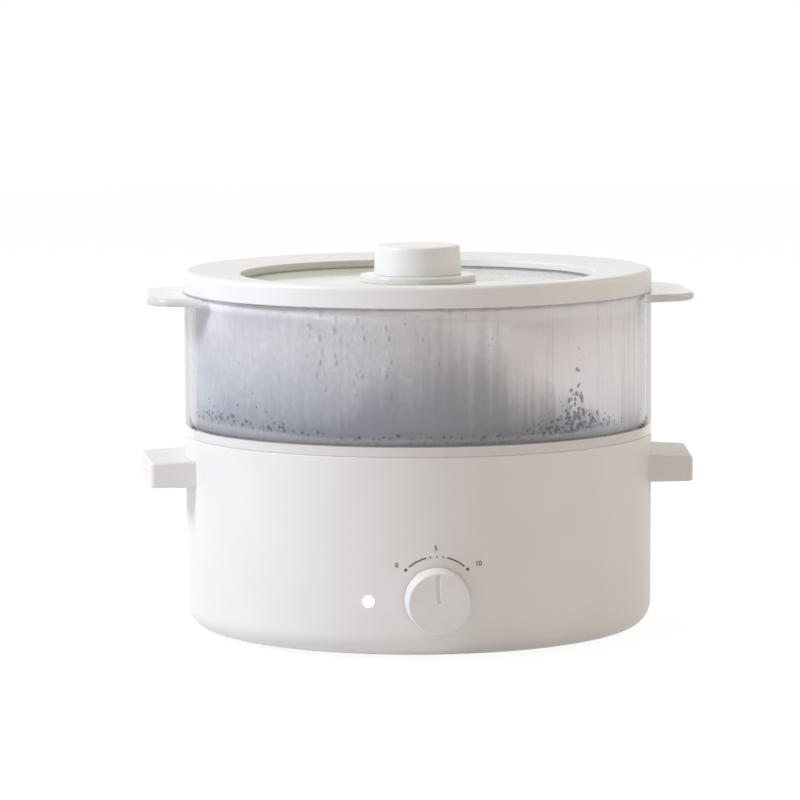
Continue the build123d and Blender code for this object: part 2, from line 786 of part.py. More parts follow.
def steam_tray():
    """Perforated sheet with a turned-down rim that rests on the tier's seat."""
    tray = disc(rib_r, tray_seat, tray_seat + tray_t)
    tray = fillet(tray.edges().sort_by(Axis.Z)[-1], 0.5)
    tray += disc(rib_in_r - 0.6, tray_seat - tray_rim, tray_seat, hole=rib_in_r - 0.6 - tray_t)
    holes = [
        place * Circle(hole_r)
        for radius, count in zip(hole_circles, hole_counts)
        for place in polar(radius, [(index + 0.5) * 360 / count for index in range(count)])
    ]
    cut = Sketch() + holes
    return tray - Pos(0, 0, tray_seat) * extrude(cut, tray_t)


def lid_ring():
    """White ring: outer skirt, dished top, glass channel and locating rib."""
    channel_r = glass_r + gasket_t
    channel_top = glass_top + gasket_t
    channel_low = glass_low - gasket_t
    under = lid_inner - lid_wall
    return turned(
        (body_r, steamer_top, seam_round),
        (body_r, lid_top, lid_edge),
        (lid_open_r, lid_inner, 0.8),
        (lid_open_r, channel_top, 0),
        (channel_r, channel_top, 0),
        (channel_r, channel_low, 0),
        (lid_open_r + 1.2, channel_low, 0),
        (lid_open_r + 1.2, channel_low - 2.0, 0.6),
        (channel_r + lip_w, channel_low - 2.0, 0.6),
        (channel_r + lip_w, under, 0.8),
        (rim_r, under + 0.4, 0.8),
        (rim_r, steamer_top + 2.0, 0),
        (rib_in_r, steamer_top + 2.0, 0.5),
        (rib_in_r, steamer_top - rib_h, 0.5),
        (rib_r, steamer_top - rib_h, 0.8),
        (rib_r, steamer_top, 0),
    )


def glass_gasket():
    """Silicone channel round the edge of the glass."""
    outer = disc(glass_r + gasket_t, glass_low - gasket_t, glass_top + gasket_t, hole=glass_r - 2.4)
    return outer - disc(glass_r, glass_low, glass_top)


def lid_glass():
    glass = disc(glass_r, glass_low, glass_top, hole=glass_hole_r)
    edges = glass.edges().filter_by(GeomType.CIRCLE).sort_by(SortBy.RADIUS)[-2:]
    return chamfer(edges, 0.4)


def knob_seat():
    """Clear collar between the glass and the knob."""
    return turned(
        (screw_4[0] + hole_gap, glass_top, 0),
        (seat_r, glass_top, 0.4),
        (seat_r, seat_top, 1.2),
        (screw_4[0] + hole_gap, seat_top, 0),
    )


def lid_knob():
    """Hollow knob with a screw boss in its middle."""
    top = seat_top + lid_knob_h
    inside = top - lid_knob_wall
    boss_end = seat_top + lid_screw_in + 1.0
    return turned(
        (lid_knob_r, seat_top, 0.4),
        (lid_knob_top_r, top, lid_knob_round),
        (0, top, 0),
        (0, boss_end, 0),
        (screw_4[0] + thread_gap, boss_end, 0),
        (screw_4[0] + thread_gap, seat_top, 0),
        (lid_boss_r, seat_top, 0),
        (lid_boss_r, inside, 0.8),
        (lid_knob_top_r - lid_knob_wall, inside, 0.8),
        (lid_knob_r - lid_knob_wall, seat_top, 0),
    )


def glass_washer_ring():
    return disc(glass_washer[0], glass_low - glass_washer[1], glass_low, hole=screw_4[0] + hole_gap)


def knob_washer():
    top = glass_low - glass_washer[1]
    return disc(steel_washer[0], top - steel_washer[1], top, hole=screw_4[0] + hole_gap)


def knob_screw():
    head = glass_low - glass_washer[1] - steel_washer[1]
    return Pos(0, 0, head) * screw(screw_4, seat_top + lid_screw_in - head)


parts = {
    "outer_housing": outer_housing(),
    "handle_left": handle(-1),
    "handle_right": handle(1),
    "handle_screws": handle_screws(),
    "inner_pot": inner_pot(),
    "pot_seal": pot_seal(),
    "heating_element": heating_element(),
    "heat_shield": heat_shield(),
    "shield_screws": shield_screws(),
    "limiter": limiter(),
    "limiter_bracket": limiter_bracket(),
    "limiter_screws": limiter_screws(),
    "thermal_fuse": thermal_fuse(),
    "fuse_clip": fuse_clip(),
    "fuse_screw": fuse_screw(),
    "rotary_switch": rotary_switch(),
    "switch_terminals": switch_terminals(),
    "switch_nut": switch_nut(),
    "switch_shaft": switch_shaft(),
    "control_knob": control_knob(),
    "indicator_lens": indicator_lens(),
    "indicator_lamp": indicator_lamp(),
    "lamp_board": lamp_board(),
    "power_inlet": power_inlet(),
    "inlet_pins": inlet_pins(),
    "inlet_screws": inlet_screws(),
    "terminal_block": terminal_block(),
    "bottom_cover": bottom_cover(),
    "cover_screws": cover_screws(),
    "rubber_feet": rubber_feet(),
    "steamer_ring": steamer_ring(),
    "steam_tray": steam_tray(),
    "lid_ring": lid_ring(),
    "glass_gasket": glass_gasket(),
    "lid_glass": lid_glass(),
    "knob_seat": knob_seat(),
    "lid_knob": lid_knob(),
    "glass_washer": glass_washer_ring(),
    "knob_washer": knob_washer(),
    "knob_screw": knob_screw(),
}

# The control knob stands out at the front only, so the middle of the ground covered is in front of the axis
to_middle = Pos(0, (knob_front - body_r) / 2, 0)

os.makedirs("parts", exist_ok=True)
for name, part in parts.items():
    export_step(to_middle * part, f"parts/{name}.step")
    print(name, len(part.solids()), round(part.volume, 1))
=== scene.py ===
import math

import bmesh
import bpy
from mathutils import Matrix, Vector


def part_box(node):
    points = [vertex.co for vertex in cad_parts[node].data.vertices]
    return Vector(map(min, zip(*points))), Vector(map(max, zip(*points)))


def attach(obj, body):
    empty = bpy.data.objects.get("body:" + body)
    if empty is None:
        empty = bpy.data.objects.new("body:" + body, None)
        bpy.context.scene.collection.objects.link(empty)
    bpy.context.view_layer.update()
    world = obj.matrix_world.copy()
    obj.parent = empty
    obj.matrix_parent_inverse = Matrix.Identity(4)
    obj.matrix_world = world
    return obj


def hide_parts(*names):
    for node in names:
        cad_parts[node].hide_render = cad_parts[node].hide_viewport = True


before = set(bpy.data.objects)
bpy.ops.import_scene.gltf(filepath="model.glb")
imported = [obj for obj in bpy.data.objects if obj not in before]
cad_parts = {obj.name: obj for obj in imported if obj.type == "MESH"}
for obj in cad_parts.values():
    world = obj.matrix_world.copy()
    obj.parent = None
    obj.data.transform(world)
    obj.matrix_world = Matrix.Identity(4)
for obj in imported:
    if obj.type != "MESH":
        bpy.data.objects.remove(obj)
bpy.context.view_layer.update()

scene = bpy.context.scene
mm = 0.001
weld = 0.002 * mm  # corners closer than this are one
knobLow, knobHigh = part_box("lid_knob")
potAxis = Vector((0.0, (knobLow[1] + knobHigh[1]) / 2, 0.0))  # the turned pieces are drawn round this


# Node graphs

class Signal:  # an output socket that sums can be written with
    def __init__(self, graph, socket):
        self.graph, self.socket = graph, socket

    def other(self, name):  # another output of the same node
        return Signal(self.graph, self.socket.node.outputs[name])

    def math(self, operation, *values):
        return self.graph.add("ShaderNodeMath", {"operation": operation}, dict(enumerate(values)))

    def __add__(self, value):
        return self.math("ADD", self, value)

    def __sub__(self, value):
        return self.math("SUBTRACT", self, value)

    def __rsub__(self, value):
        return self.math("SUBTRACT", value, self)

    def __mul__(self, value):
        return self.math("MULTIPLY", self, value)

    def __truediv__(self, value):
        return self.math("DIVIDE", self, value)

    def __pow__(self, value):
        return self.math("POWER", self, value)

    def __lt__(self, value):
        return self.math("LESS_THAN", self, value)

    __radd__, __rmul__ = __add__, __mul__


class Graph:  # a node tree that grows by one node a call
    def __init__(self, tree):
        self.tree = tree

    def add(self, kind, settings=None, values=None, output=0):
        node = self.tree.nodes.new(kind)
        for name, value in (settings or {}).items():
            setattr(node, name, value)
        for name, value in (values or {}).items():
            self.feed(node.inputs[name], value)
        return Signal(self, node.outputs[output])

    def feed(self, socket, value):
        if isinstance(value, Signal):
            self.tree.links.new(value.socket, socket)
        else:
            socket.default_value = value

    def vector(self, x, y, z):
        return self.add("ShaderNodeCombineXYZ", None, {"X": x, "Y": y, "Z": z})

    def axes(self, vector):
        parts = self.add("ShaderNodeSeparateXYZ", None, {"Vector": vector})
        return [parts.other(name) for name in "XYZ"]

    def join(self, *parts):
        node = self.tree.nodes.new("GeometryNodeJoinGeometry")
        for part in parts:
            self.feed(node.inputs["Geometry"], part)
        return Signal(self, node.outputs[0])


# Finishes

class Finish:  # a principled material whose patterns read the object's own metres
    def __init__(self, name, constants):
        self.material = bpy.data.materials.new(name)
        self.material.use_nodes = True
        self.graph = Graph(self.material.node_tree)
        self.shader = self.material.node_tree.nodes["Principled BSDF"]
        own = self.graph.add("ShaderNodeTexCoord", output="Object")
        self.place = self.graph.add("ShaderNodeMapping", None, {"Vector": own, "Location": -potAxis})
        for socket, value in constants.items():
            self.shader.inputs[socket].default_value = value

    def add(self, *settings, **values):
        return self.graph.add(*settings, **values)

    def set(self, **sockets):  # underscores stand for the blanks in socket names
        for name, value in sockets.items():
            self.graph.feed(self.shader.inputs[name.replace("_", " ")], value)
        return self.material

    def axes(self):
        return self.graph.axes(self.place)

    def stretched(self, *scale):  # the place, scaled by an amount along each axis
        return self.add("ShaderNodeMapping", None, {"Vector": self.place, "Scale": scale})

    def noise(self, scale, detail=2.0, place=None, roughness=0.5):
        values = {"Vector": place or self.place, "Scale": scale, "Detail": detail, "Roughness": roughness}
        return self.add("ShaderNodeTexNoise", None, values)

    def cells(self, scale, feature="F1", place=None):
        values = {"Vector": place or self.place, "Scale": scale}
        return self.add("ShaderNodeTexVoronoi", {"feature": feature}, values)

    def blend(self, factor, *colours):  # plain colours, or signals that carry them
        first, second = [colour if isinstance(colour, Signal) else opaque(colour) for colour in colours]
        settings = {"data_type": "RGBA", "clamp_factor": True}
        return self.add("ShaderNodeMix", settings, {0: factor, 6: first, 7: second}, output=2)

    def tone(self, factor, look):  # from a finish's shade to its colour
        return self.blend(factor, look["shade"], look["colour"])

    def ease(self, value, low, high, start=0.0, end=1.0):  # smooth step from start at low to end at high
        settings = {"interpolation_type": "SMOOTHSTEP", "clamp": True}
        return self.add("ShaderNodeMapRange", settings, {"Value": value, 1: low, 2: high, 3: start, 4: end})

    def facing(self, blend):  # more towards the outline
        return self.add("ShaderNodeLayerWeight", None, {"Blend": blend}, output="Facing")

    def bump(self, height, strength, distance):
        values = {"Height": height, "Strength": strength, "Distance": distance}
        return self.add("ShaderNodeBump", None, values)


def opaque(colour):
    return (*colour, 1.0)


def mouldedPlastic(name, look):
    finish = Finish(name, {"IOR": 1.5, "Specular IOR Level": 0.5})
    broad = finish.noise(look.get("mottle", 22.0), 3.0)
    flow = finish.noise(60.0, 2.0, finish.stretched(1.0, 1.0, 0.15))
    grain = finish.noise(look.get("grain", 1500.0), 1.0)
    colour = finish.tone(finish.ease(broad * 0.7 + flow * 0.3, 0.3, 0.7), look)
    rough = look["rough"] + (grain - 0.5) * 0.10 + (broad - 0.5) * 0.08
    relief = finish.bump(grain, look.get("relief", 0.12), 0.05 * mm)
    return finish.set(Base_Color=colour, Roughness=rough, Normal=relief)


def lidPlastic(look):  # the recess wall carries painted shade on its left side
    finish = Finish("lidPlastic", {"IOR": 1.5})
    x, y = finish.axes()[:2]
    radius = (x * x + y * y) ** 0.5
    recess = finish.ease(radius, look["recess"], look["recess"] + 0.5 * mm, 1.0, 0.0)
    broad, grain = finish.noise(22.0, 3.0), finish.noise(1500.0, 1.0)
    # painted shade: the recess wall is darkened on its left side, fading out towards the right
    paintedShade = recess * finish.ease(x + (broad - 0.5) * 0.03, *look["paintedShadeSpan"])
    colour = finish.blend(paintedShade, finish.tone(finish.ease(broad, 0.35, 0.65), look), look["paintedShade"])
    rough = look["rough"] + (grain - 0.5) * 0.10 + (broad - 0.5) * 0.08
    return finish.set(Base_Color=colour, Roughness=rough, Normal=finish.bump(grain, 0.12, 0.05 * mm))


def metal(name, look):
    finish = Finish(name, {"Metallic": 1.0, "IOR": 1.5})
    across = look.get("brush", (4.0, 4.0, 4.0))
    brush = finish.noise(look.get("scale", 420.0), 3.0, finish.stretched(*across), 0.6)
    stain = finish.noise(35.0, 4.0)
    colour = finish.tone(finish.ease(stain, 0.35, 0.7), look)
    rough = look["rough"] + (brush - 0.5) * 0.22 + (stain - 0.5) * 0.10
    return finish.set(Base_Color=colour, Roughness=rough, Normal=finish.bump(brush, 0.15, 0.04 * mm))


def softRubber(name, look):
    finish = Finish(name, {"IOR": 1.45, "Specular IOR Level": 0.3})
    dust = finish.noise(140.0, 4.0)
    pores = finish.noise(2200.0, 1.0)
    colour = finish.blend(finish.ease(dust, 0.35, 0.75), look["colour"], look["shade"])
    rough = look["rough"] + (dust - 0.5) * 0.2
    return finish.set(Base_Color=colour, Roughness=rough, Normal=finish.bump(pores, 0.2, 0.06 * mm))


def speckledCoating(name, look):  # cast pot with a stone-look release coating
    finish = Finish(name, {"IOR": 1.5, "Specular IOR Level": 0.5})
    specks = finish.cells(look["speckScale"])
    size = finish.noise(look["speckScale"] * 0.35, 2.0)
    dark = (specks < 0.06 + size * 0.22) * 0.8
    pale = finish.ease(finish.noise(look["speckScale"] * 1.7, 2.0), 0.62, 0.72)
    broad = finish.noise(18.0, 3.0)
    colour = finish.blend(dark, finish.tone(broad, look), look["speck"])
    colour = finish.blend(pale * 0.35, colour, look["pale"])
    rough = look["rough"] + (broad - 0.5) * 0.12
    relief = finish.bump(finish.noise(900.0, 2.0), 0.25, 0.08 * mm)
    return finish.set(Base_Color=colour, Roughness=rough, Normal=relief)


clearTier = {
    "clear": (0.82, 0.83, 0.87), "skirt": (0.84, 0.815, 0.80), "tab": (0.80, 0.775, 0.785),
    "edge": (0.50, 0.50, 0.53), "edgeSpan": (0.72, 0.86), "edgeTone": 0.9,
    "wallAlpha": 0.02, "skirtAlpha": 0.86, "tabAlpha": 0.76, "edgeAlpha": 0.85, "streakAlpha": 0.02,
    "trayLine": 106.2 * mm, "trayBlur": 0.5 * mm, "wallRadius": 120.4 * mm, "wallBlur": 1.5 * mm,
}


def tierPlastic():
    look = clearTier
    finish = Finish("clearTierPlastic", {"IOR": 1.58, "Specular IOR Level": 0.5})
    x, y, z = finish.axes()
    radius = (x * x + y * y) ** 0.5
    tab = finish.ease(radius, look["wallRadius"], look["wallRadius"] + look["wallBlur"])
    line, blur = look["trayLine"], look["trayBlur"]
    skirt = finish.ease(z, line - blur, line + blur, 1.0, 0.0)
    streak = finish.noise(1.0, 3.0, finish.stretched(260.0, 260.0, 14.0))
    colour = finish.blend(skirt, look["clear"], look["skirt"])
    edge = finish.ease(finish.facing(0.5), *look["edgeSpan"])
    colour = finish.blend(edge * (1.0 - skirt) * look["edgeTone"], colour, look["edge"])
    colour = finish.blend(tab, colour, look["tab"])
    alpha = look["wallAlpha"] + skirt * (look["skirtAlpha"] - look["wallAlpha"])
    alpha = alpha + (streak - 0.5) * (1.0 - tab) * look["streakAlpha"]
    alpha = alpha + tab * (look["tabAlpha"] - look["wallAlpha"]) + edge * look["edgeAlpha"]
    rough = 0.10 + streak * 0.10
    return finish.set(Base_Color=colour, Roughness=rough, Alpha=alpha.math("MINIMUM", alpha, 1.0))


tierMist = {
    "outer": 116.94 * mm, "inner": 116.74 * mm, "low": 106.75 * mm, "high": 173.4 * mm, "segments": 192,
    "left": (0.57, 0.565, 0.585), "leftLow": (0.50, 0.535, 0.59), "right": (0.97, 0.965, 0.98),
    "top": (1.0, 1.0, 1.0), "heapLeft": (0.42, 0.45, 0.53), "heapRight": (0.36, 0.375, 0.40),
    "pool": (0.49, 0.56, 0.63), "speck": (0.10, 0.14, 0.165), "foot": (0.86, 0.88, 0.92),
    "drop": (0.36, 0.38, 0.42), "inside": (0.76, 0.765, 0.79), "dark": (0.0, 0.0, 0.0),
    "through": (0.060, 0.056, 0.085), "under": (0.135, 0.130, 0.140), "alpha": 0.98,
    # places along X and how far each mound reaches
    "heap": (12 * mm, 82 * mm), "clump": (72 * mm, 28 * mm), "spike": (72 * mm, 6 * mm),
    "bank": (-108 * mm, 62 * mm), "dropMound": (-28 * mm, 66 * mm), "footMound": (112 * mm, 50 * mm),
    # spans along X
    "sideSpan": (-58 * mm, 46 * mm), "thinSpan": (30 * mm, 90 * mm), "underSpan": (-88 * mm, -50 * mm),
    "heapEnd": (72 * mm, 96 * mm, 1.0, 0.12), "poolEnd": (85 * mm, 108 * mm, 1.0, 0.3),
    "edgeSpan": (-113 * mm, -98 * mm, 1.0, 0.0), "cornerSpan": (-106 * mm, -94 * mm, 1.0, 0.0),
    # spans of the film's height
    "lowSpan": (0.15, 0.75), "leftRise": (0.90, 0.985), "rightRise": (0.78, 0.96), "dropHeight": (0.20, 0.45),
    "edgeHeight": (0.2, 0.5, 1.0, 0.0), "cornerHeight": (0.66, 0.86),
    "underHeight": (0.85, 0.97), "underEnd": (0.975, 0.995, 1.0, 0.0),
    # a base, then the share of each mound or of the right side
    "crest": (0.12, 0.84, 0.10), "shore": (0.10, 0.24, 0.12), "poolTone": (0.35, 0.1, 0.6),
    "reach": (0.16, 0.24, 0.34, 0.46), "dense": (0.80, 0.28), "leftTop": (0.8, -0.8),
    "paleTone": (0.15, 0.16), "streakShare": (0.26, 0.50), "mottleShare": (0.55, -0.40),
    # how strongly each colour shows
    "edgeTone": 0.4, "dimTone": 0.17, "speckTone": 0.72, "dropTone": 0.12, "insideTone": 0.75,
    # patterns
    "ragged": (0.34, 0.24, 0.10), "crestSpan": (0.16, 1.08), "shoreStart": 0.3, "grainReach": 0.12,
    "speckSpan": (0.36, 0.58, 1.0, 0.0), "insideBlur": (0.04 * mm, 0.14 * mm),
    "dropScale": 265.0, "dropSize": 0.58, "dropRelief": 0.34 * mm,
}


def mistFinish():
    look = tierMist
    finish = Finish("fogFilm", {"IOR": 1.33, "Specular IOR Level": 0.35, "Emission Strength": 1.0})
    x, y, z = finish.axes()
    height = (z - look["low"]) / (look["high"] - look["low"])  # 0 at the tray, 1 under the lid
    broad = finish.noise(1.0, 2.0, finish.stretched(24.0, 24.0, 16.0))
    streaks = finish.noise(1.0, 2.0, finish.stretched(240.0, 240.0, 5.0), 0.5)
    mottle = finish.noise(1.0, 2.0, finish.stretched(330.0, 330.0, 260.0), 0.6)
    grit = finish.noise(1.0, 1.0, finish.stretched(300.0, 300.0, 280.0), 0.5)
    grains = finish.cells(390.0)

    def mound(name):  # 1 above its place, 0 past its reach
        place, reach = look[name]
        away = x - place
        return finish.ease(away.math("ABSOLUTE", away), 0.0, reach, 1.0, 0.0)

    def summed(name, *signals):  # a base and a share of each signal
        total, *shares = look[name]
        for signal, share in zip(signals, shares):
            total = total + signal * share
        return total

    # painted light: the film is lighter on the right, as if lit through from behind; on the left it is darker
    # and bluer lower down
    side = finish.ease(x, *look["sideSpan"])
    left = finish.blend(finish.ease(height, *look["lowSpan"]), look["leftLow"], look["left"])
    colour = finish.blend(side, left, look["right"])
    # painted light: the film turns white just under the lid, where the lid's shadow falls
    rise = finish.ease(height, *look["rightRise"]) * side
    rise = rise + finish.ease(height, *look["leftRise"]) * summed("leftTop", side)
    colour = finish.blend(rise, colour, look["top"])

    # The food's shadow behind the fog
    heap, clump, spike, bank = [mound(name) for name in ("heap", "clump", "spike", "bank")]
    ragged = height
    for pattern, share in zip((broad, streaks, mottle), look["ragged"]):
        ragged = ragged + (pattern - 0.5) * share
    crest, (start, end) = summed("crest", heap, clump), look["crestSpan"]
    shadow = finish.ease(ragged, crest * start, crest * end, 1.0, 0.0) * finish.ease(x, *look["heapEnd"])
    colour = finish.blend(shadow, colour, finish.blend(side, look["heapLeft"], look["heapRight"]))
    shore = summed("shore", bank, clump)
    pool = finish.ease(ragged, shore * look["shoreStart"], shore, 1.0, 0.0) * summed("poolTone", bank, clump)
    colour = finish.blend(pool * finish.ease(x, *look["poolEnd"]), colour, look["pool"])
    # painted light: the far left of the film is lightened towards white, most near the bottom
    edge = finish.ease(x, *look["edgeSpan"]) * finish.ease(height, *look["edgeHeight"])
    colour = finish.blend(edge * look["edgeTone"], colour, look["top"])

    # Streaks, then the specks along the bottom
    grain = (streaks - 0.5) * summed("streakShare", side) + (mottle - 0.5) * summed("mottleShare", side)
    pale = finish.ease(grain, 0.0, look["grainReach"])
    dim = finish.ease(grain, -look["grainReach"], 0.0, 1.0, 0.0)
    colour = finish.blend(pale * summed("paleTone", side) * (1.0 - shadow * 0.7), colour, look["top"])
    colour = finish.blend(dim * look["dimTone"], colour, look["heapRight"])
    reach = summed("reach", bank, clump, spike)
    dense = finish.ease(height + (broad - 0.5) * 0.12, reach * 0.2, reach, 1.0, 0.0) * summed("dense", clump)
    speck = finish.ease(grains + (1.0 - dense) * 0.62 + (grit - 0.5) * 1.1, *look["speckSpan"])
    colour = finish.blend(speck * look["speckTone"], colour, look["speck"])

    # Droplets, the pale foot of painted light and the side towards the food
    drops = finish.cells(look["dropScale"], "F1", finish.stretched(1.0, 1.0, 0.72))
    chance = drops.other("Color") * 1.0
    where = finish.ease(broad + mound("dropMound") * 0.32, 0.44, 0.60)
    where = where * finish.ease(height, *look["dropHeight"])
    where = where * finish.ease(chance, 0.40, 0.46) * (1.0 - side * 0.65)
    size = look["dropSize"] * (0.25 + chance) * where + 0.001
    dome = finish.ease(drops / size, 0.0, 1.0, 1.0, 0.0)
    colour = finish.blend(finish.ease(dome, 0.05, 0.5) * look["dropTone"], colour, look["drop"])
    # painted light: the film is lightened along its bottom, against the shade of the housing's ledge
    lip = 0.06 + (bank + mound("footMound")) * 0.05
    foot = finish.ease(height + (mottle - 0.5) * 0.03, lip * 0.5, lip, 1.0, 0.0)
    colour = finish.blend(foot * (0.85 - heap * 0.45), colour, look["foot"])
    near, far = [look["inner"] + blur for blur in look["insideBlur"]]
    inside = finish.ease(x * x + y * y, near * near, far * far, 1.0, 0.0)
    colour = finish.blend(inside * look["insideTone"], colour, look["inside"])
    relief = finish.bump(dome + mottle * 0.14, 1.0, look["dropRelief"])
    alpha = look["alpha"] - finish.ease(dome, 0.2, 0.7) * 0.10 - pale * 0.03

    # Painted light as emission, not a lamp: daylight through thin fog on the right, and light against the
    # shadows below the lid's edge and in the left corner
    thin = finish.ease(x, *look["thinSpan"]) * (1.0 - shadow * 0.8)
    glow = finish.blend(thin, look["dark"], look["through"])
    under = finish.ease(height, *look["underHeight"]) * finish.ease(x, *look["underSpan"])
    under = under * finish.ease(height, *look["underEnd"])
    glow = finish.blend(under, glow, look["under"])
    corner = finish.ease(height, *look["cornerHeight"]) * finish.ease(x, *look["cornerSpan"])
    glow = finish.blend(corner, glow, look["under"])
    return finish.set(
        Base_Color=colour, Roughness=0.5 - dome * 0.35, Alpha=alpha, Normal=relief, Emission_Color=glow,
    )


def glassFinish():
    look = {
        "left": (0.95, 0.985, 0.87), "right": (0.70, 0.70, 0.69), "sideSpan": (-20 * mm, 75 * mm),
        "bead": (0.34, 0.36, 0.34), "beadSpan": (0.16, 0.34, 1.0, 0.0), "alpha": 0.92,
    }
    finish = Finish("temperedGlass", {"IOR": 1.5, "Specular IOR Level": 0.6})
    side = finish.ease(finish.axes()[0], *look["sideSpan"])
    fog = finish.noise(70.0, 4.0, None, 0.6)
    beads = finish.cells(300.0)
    spots = finish.ease(beads + (fog - 0.5) * 0.8, *look["beadSpan"]) * (0.15 + side * 0.85)
    # painted shade: the glass is lighter on the left and darker on the right
    colour = finish.blend(side, look["left"], look["right"])
    colour = finish.blend(spots * 0.5, colour, look["bead"])
    alpha = look["alpha"] + (fog - 0.5) * 0.12 + spots * 0.05
    alpha = alpha.math("MINIMUM", alpha, 1.0)
    return finish.set(Base_Color=colour, Roughness=0.06 + fog * 0.06, Alpha=alpha)


def clearPlastic(name, look):
    finish = Finish(name, {"IOR": 1.5, "Specular IOR Level": 0.6})
    haze = finish.noise(90.0, 3.0)
    alpha = look["alpha"] + (haze - 0.5) * 0.12 + finish.facing(0.3) ** 2.0 * look["edge"]
    alpha = alpha.math("MINIMUM", alpha, 1.0)
    return finish.set(Base_Color=finish.tone(haze, look), Roughness=0.06 + haze * 0.08, Alpha=alpha)


def waterFinish():
    look = {"shade": (0.36, 0.37, 0.40), "colour": (0.86, 0.87, 0.90), "alpha": 0.30, "rim": 0.45}
    finish = Finish("waterBeads", {"IOR": 1.33, "Specular IOR Level": 0.8})
    tone = finish.noise(300.0, 1.0)
    alpha = look["alpha"] + finish.facing(0.5) * look["rim"]
    return finish.set(Base_Color=finish.tone(tone, look), Roughness=0.03 + tone * 0.04, Alpha=alpha)


def litLens():
    look = {"shade": (1.0, 0.99, 0.97), "colour": (0.93, 0.95, 1.0), "glow": 1.6}
    finish = Finish("litLens", {"Emission Strength": look["glow"], "IOR": 1.5})
    facets = finish.cells(1400.0)
    glow = finish.tone(facets, look)
    return finish.set(Base_Color=glow, Emission_Color=glow, Roughness=0.25 + facets * 0.1)


def inkFinish():
    look = {"shade": (0.075, 0.07, 0.068), "colour": (0.20, 0.19, 0.185), "wornSpan": (0.45, 0.8)}
    finish = Finish("dialInk", {"IOR": 1.5, "Specular IOR Level": 0.3})
    wearing = finish.noise(900.0, 3.0)
    colour = finish.tone(finish.ease(wearing, *look["wornSpan"]), look)
    return finish.set(Base_Color=colour, Roughness=0.55 + wearing * 0.2)


def printedBoard():
    look = {"shade": (0.02, 0.14, 0.06), "colour": (0.04, 0.24, 0.11), "track": 0.09}
    finish = Finish("printedBoard", {"IOR": 1.5, "Coat Weight": 0.4})
    weave = finish.noise(1.0, 2.0, finish.stretched(900.0, 900.0, 1200.0))
    tracks = finish.cells(210.0, "DISTANCE_TO_EDGE")
    colour = finish.tone(tracks < look["track"], look)
    return finish.set(Base_Color=colour, Roughness=0.35 + weave * 0.15)


white, whiteShade = (0.85, 0.836, 0.815), (0.822, 0.806, 0.785)
finishes = {
    "lid": lidPlastic({
        "colour": (0.87, 0.865, 0.855), "shade": (0.845, 0.838, 0.826), "paintedShade": (0.62, 0.60, 0.56),
        "rough": 0.36, "recess": 91.2 * mm, "paintedShadeSpan": (-30 * mm, 50 * mm, 1.0, 0.0),
    }),
    "tier": tierPlastic(),
    "mist": mistFinish(),
    "glass": glassFinish(),
    "collar": clearPlastic("collarPlastic", {
        "colour": (0.92, 0.92, 0.90), "shade": (0.82, 0.83, 0.80), "alpha": 0.84, "edge": 0.3,
    }),
    "water": waterFinish(),
    "lens": litLens(),
    "ink": inkFinish(),
    "pot": speckledCoating("potCoating", {
        "colour": (0.70, 0.68, 0.64), "shade": (0.62, 0.60, 0.56), "speck": (0.16, 0.14, 0.13),
        "pale": (0.86, 0.85, 0.82), "speckScale": 520.0, "rough": 0.34,
    }),
    "board": printedBoard(),
}
plainFinishes = [  # key, maker, name and look
    ("housing", mouldedPlastic, "housingPlastic", {"colour": white, "shade": whiteShade, "rough": 0.42}),
    ("handle", mouldedPlastic, "handlePlastic", {
        "colour": (0.825, 0.811, 0.79), "shade": whiteShade, "rough": 0.46, "mottle": 45.0,
    }),
    ("dial", mouldedPlastic, "dialPlastic", {
        "colour": (0.87, 0.862, 0.85), "shade": whiteShade, "rough": 0.36, "mottle": 60.0,
    }),
    ("lidKnob", mouldedPlastic, "lidKnobPlastic", {
        "colour": (0.88, 0.88, 0.875), "shade": (0.86, 0.858, 0.85), "rough": 0.30, "mottle": 50.0,
    }),
    ("cover", mouldedPlastic, "coverPlastic", {
        "colour": (0.80, 0.79, 0.775), "shade": (0.76, 0.75, 0.735), "rough": 0.55, "grain": 700.0,
        "relief": 0.5,
    }),
    ("resin", mouldedPlastic, "darkResin", {
        "colour": (0.060, 0.052, 0.047), "shade": (0.045, 0.040, 0.036), "rough": 0.45,
    }),
    ("inlet", mouldedPlastic, "inletPlastic", {
        "colour": (0.030, 0.030, 0.031), "shade": (0.022, 0.022, 0.023), "rough": 0.48, "relief": 0.4,
    }),
    ("block", mouldedPlastic, "blockNylon", {
        "colour": (0.76, 0.76, 0.73), "shade": (0.70, 0.70, 0.66), "rough": 0.5,
    }),
    ("silicone", softRubber, "siliconeSeal", {
        "colour": (0.70, 0.70, 0.68), "shade": (0.60, 0.60, 0.57), "rough": 0.6,
    }),
    ("foot", softRubber, "footRubber", {
        "colour": (0.30, 0.30, 0.29), "shade": (0.44, 0.43, 0.41), "rough": 0.75,
    }),
    ("tray", metal, "trayStainless", {
        "colour": (0.66, 0.66, 0.66), "shade": (0.56, 0.56, 0.57), "rough": 0.30, "brush": (0.3, 6.0, 6.0),
    }),
    ("sheet", metal, "galvanisedSheet", {
        "colour": (0.66, 0.67, 0.68), "shade": (0.50, 0.51, 0.53), "rough": 0.38, "scale": 90.0,
    }),
    ("screw", metal, "zincPlate", {
        "colour": (0.70, 0.70, 0.69), "shade": (0.55, 0.55, 0.55), "rough": 0.28,
    }),
    ("shaft", metal, "turnedSteel", {
        "colour": (0.66, 0.66, 0.66), "shade": (0.52, 0.52, 0.52), "rough": 0.25,
    }),
    ("element", metal, "heaterSheath", {
        "colour": (0.34, 0.31, 0.29), "shade": (0.20, 0.17, 0.15), "rough": 0.5,
    }),
    ("brass", metal, "contactBrass", {
        "colour": (0.78, 0.62, 0.32), "shade": (0.60, 0.46, 0.22), "rough": 0.3,
    }),
    ("fuse", metal, "fuseCap", {"colour": (0.74, 0.74, 0.75), "shade": (0.62, 0.62, 0.63), "rough": 0.3}),
]
for key, maker, name, look in plainFinishes:
    finishes[key] = maker(name, look)
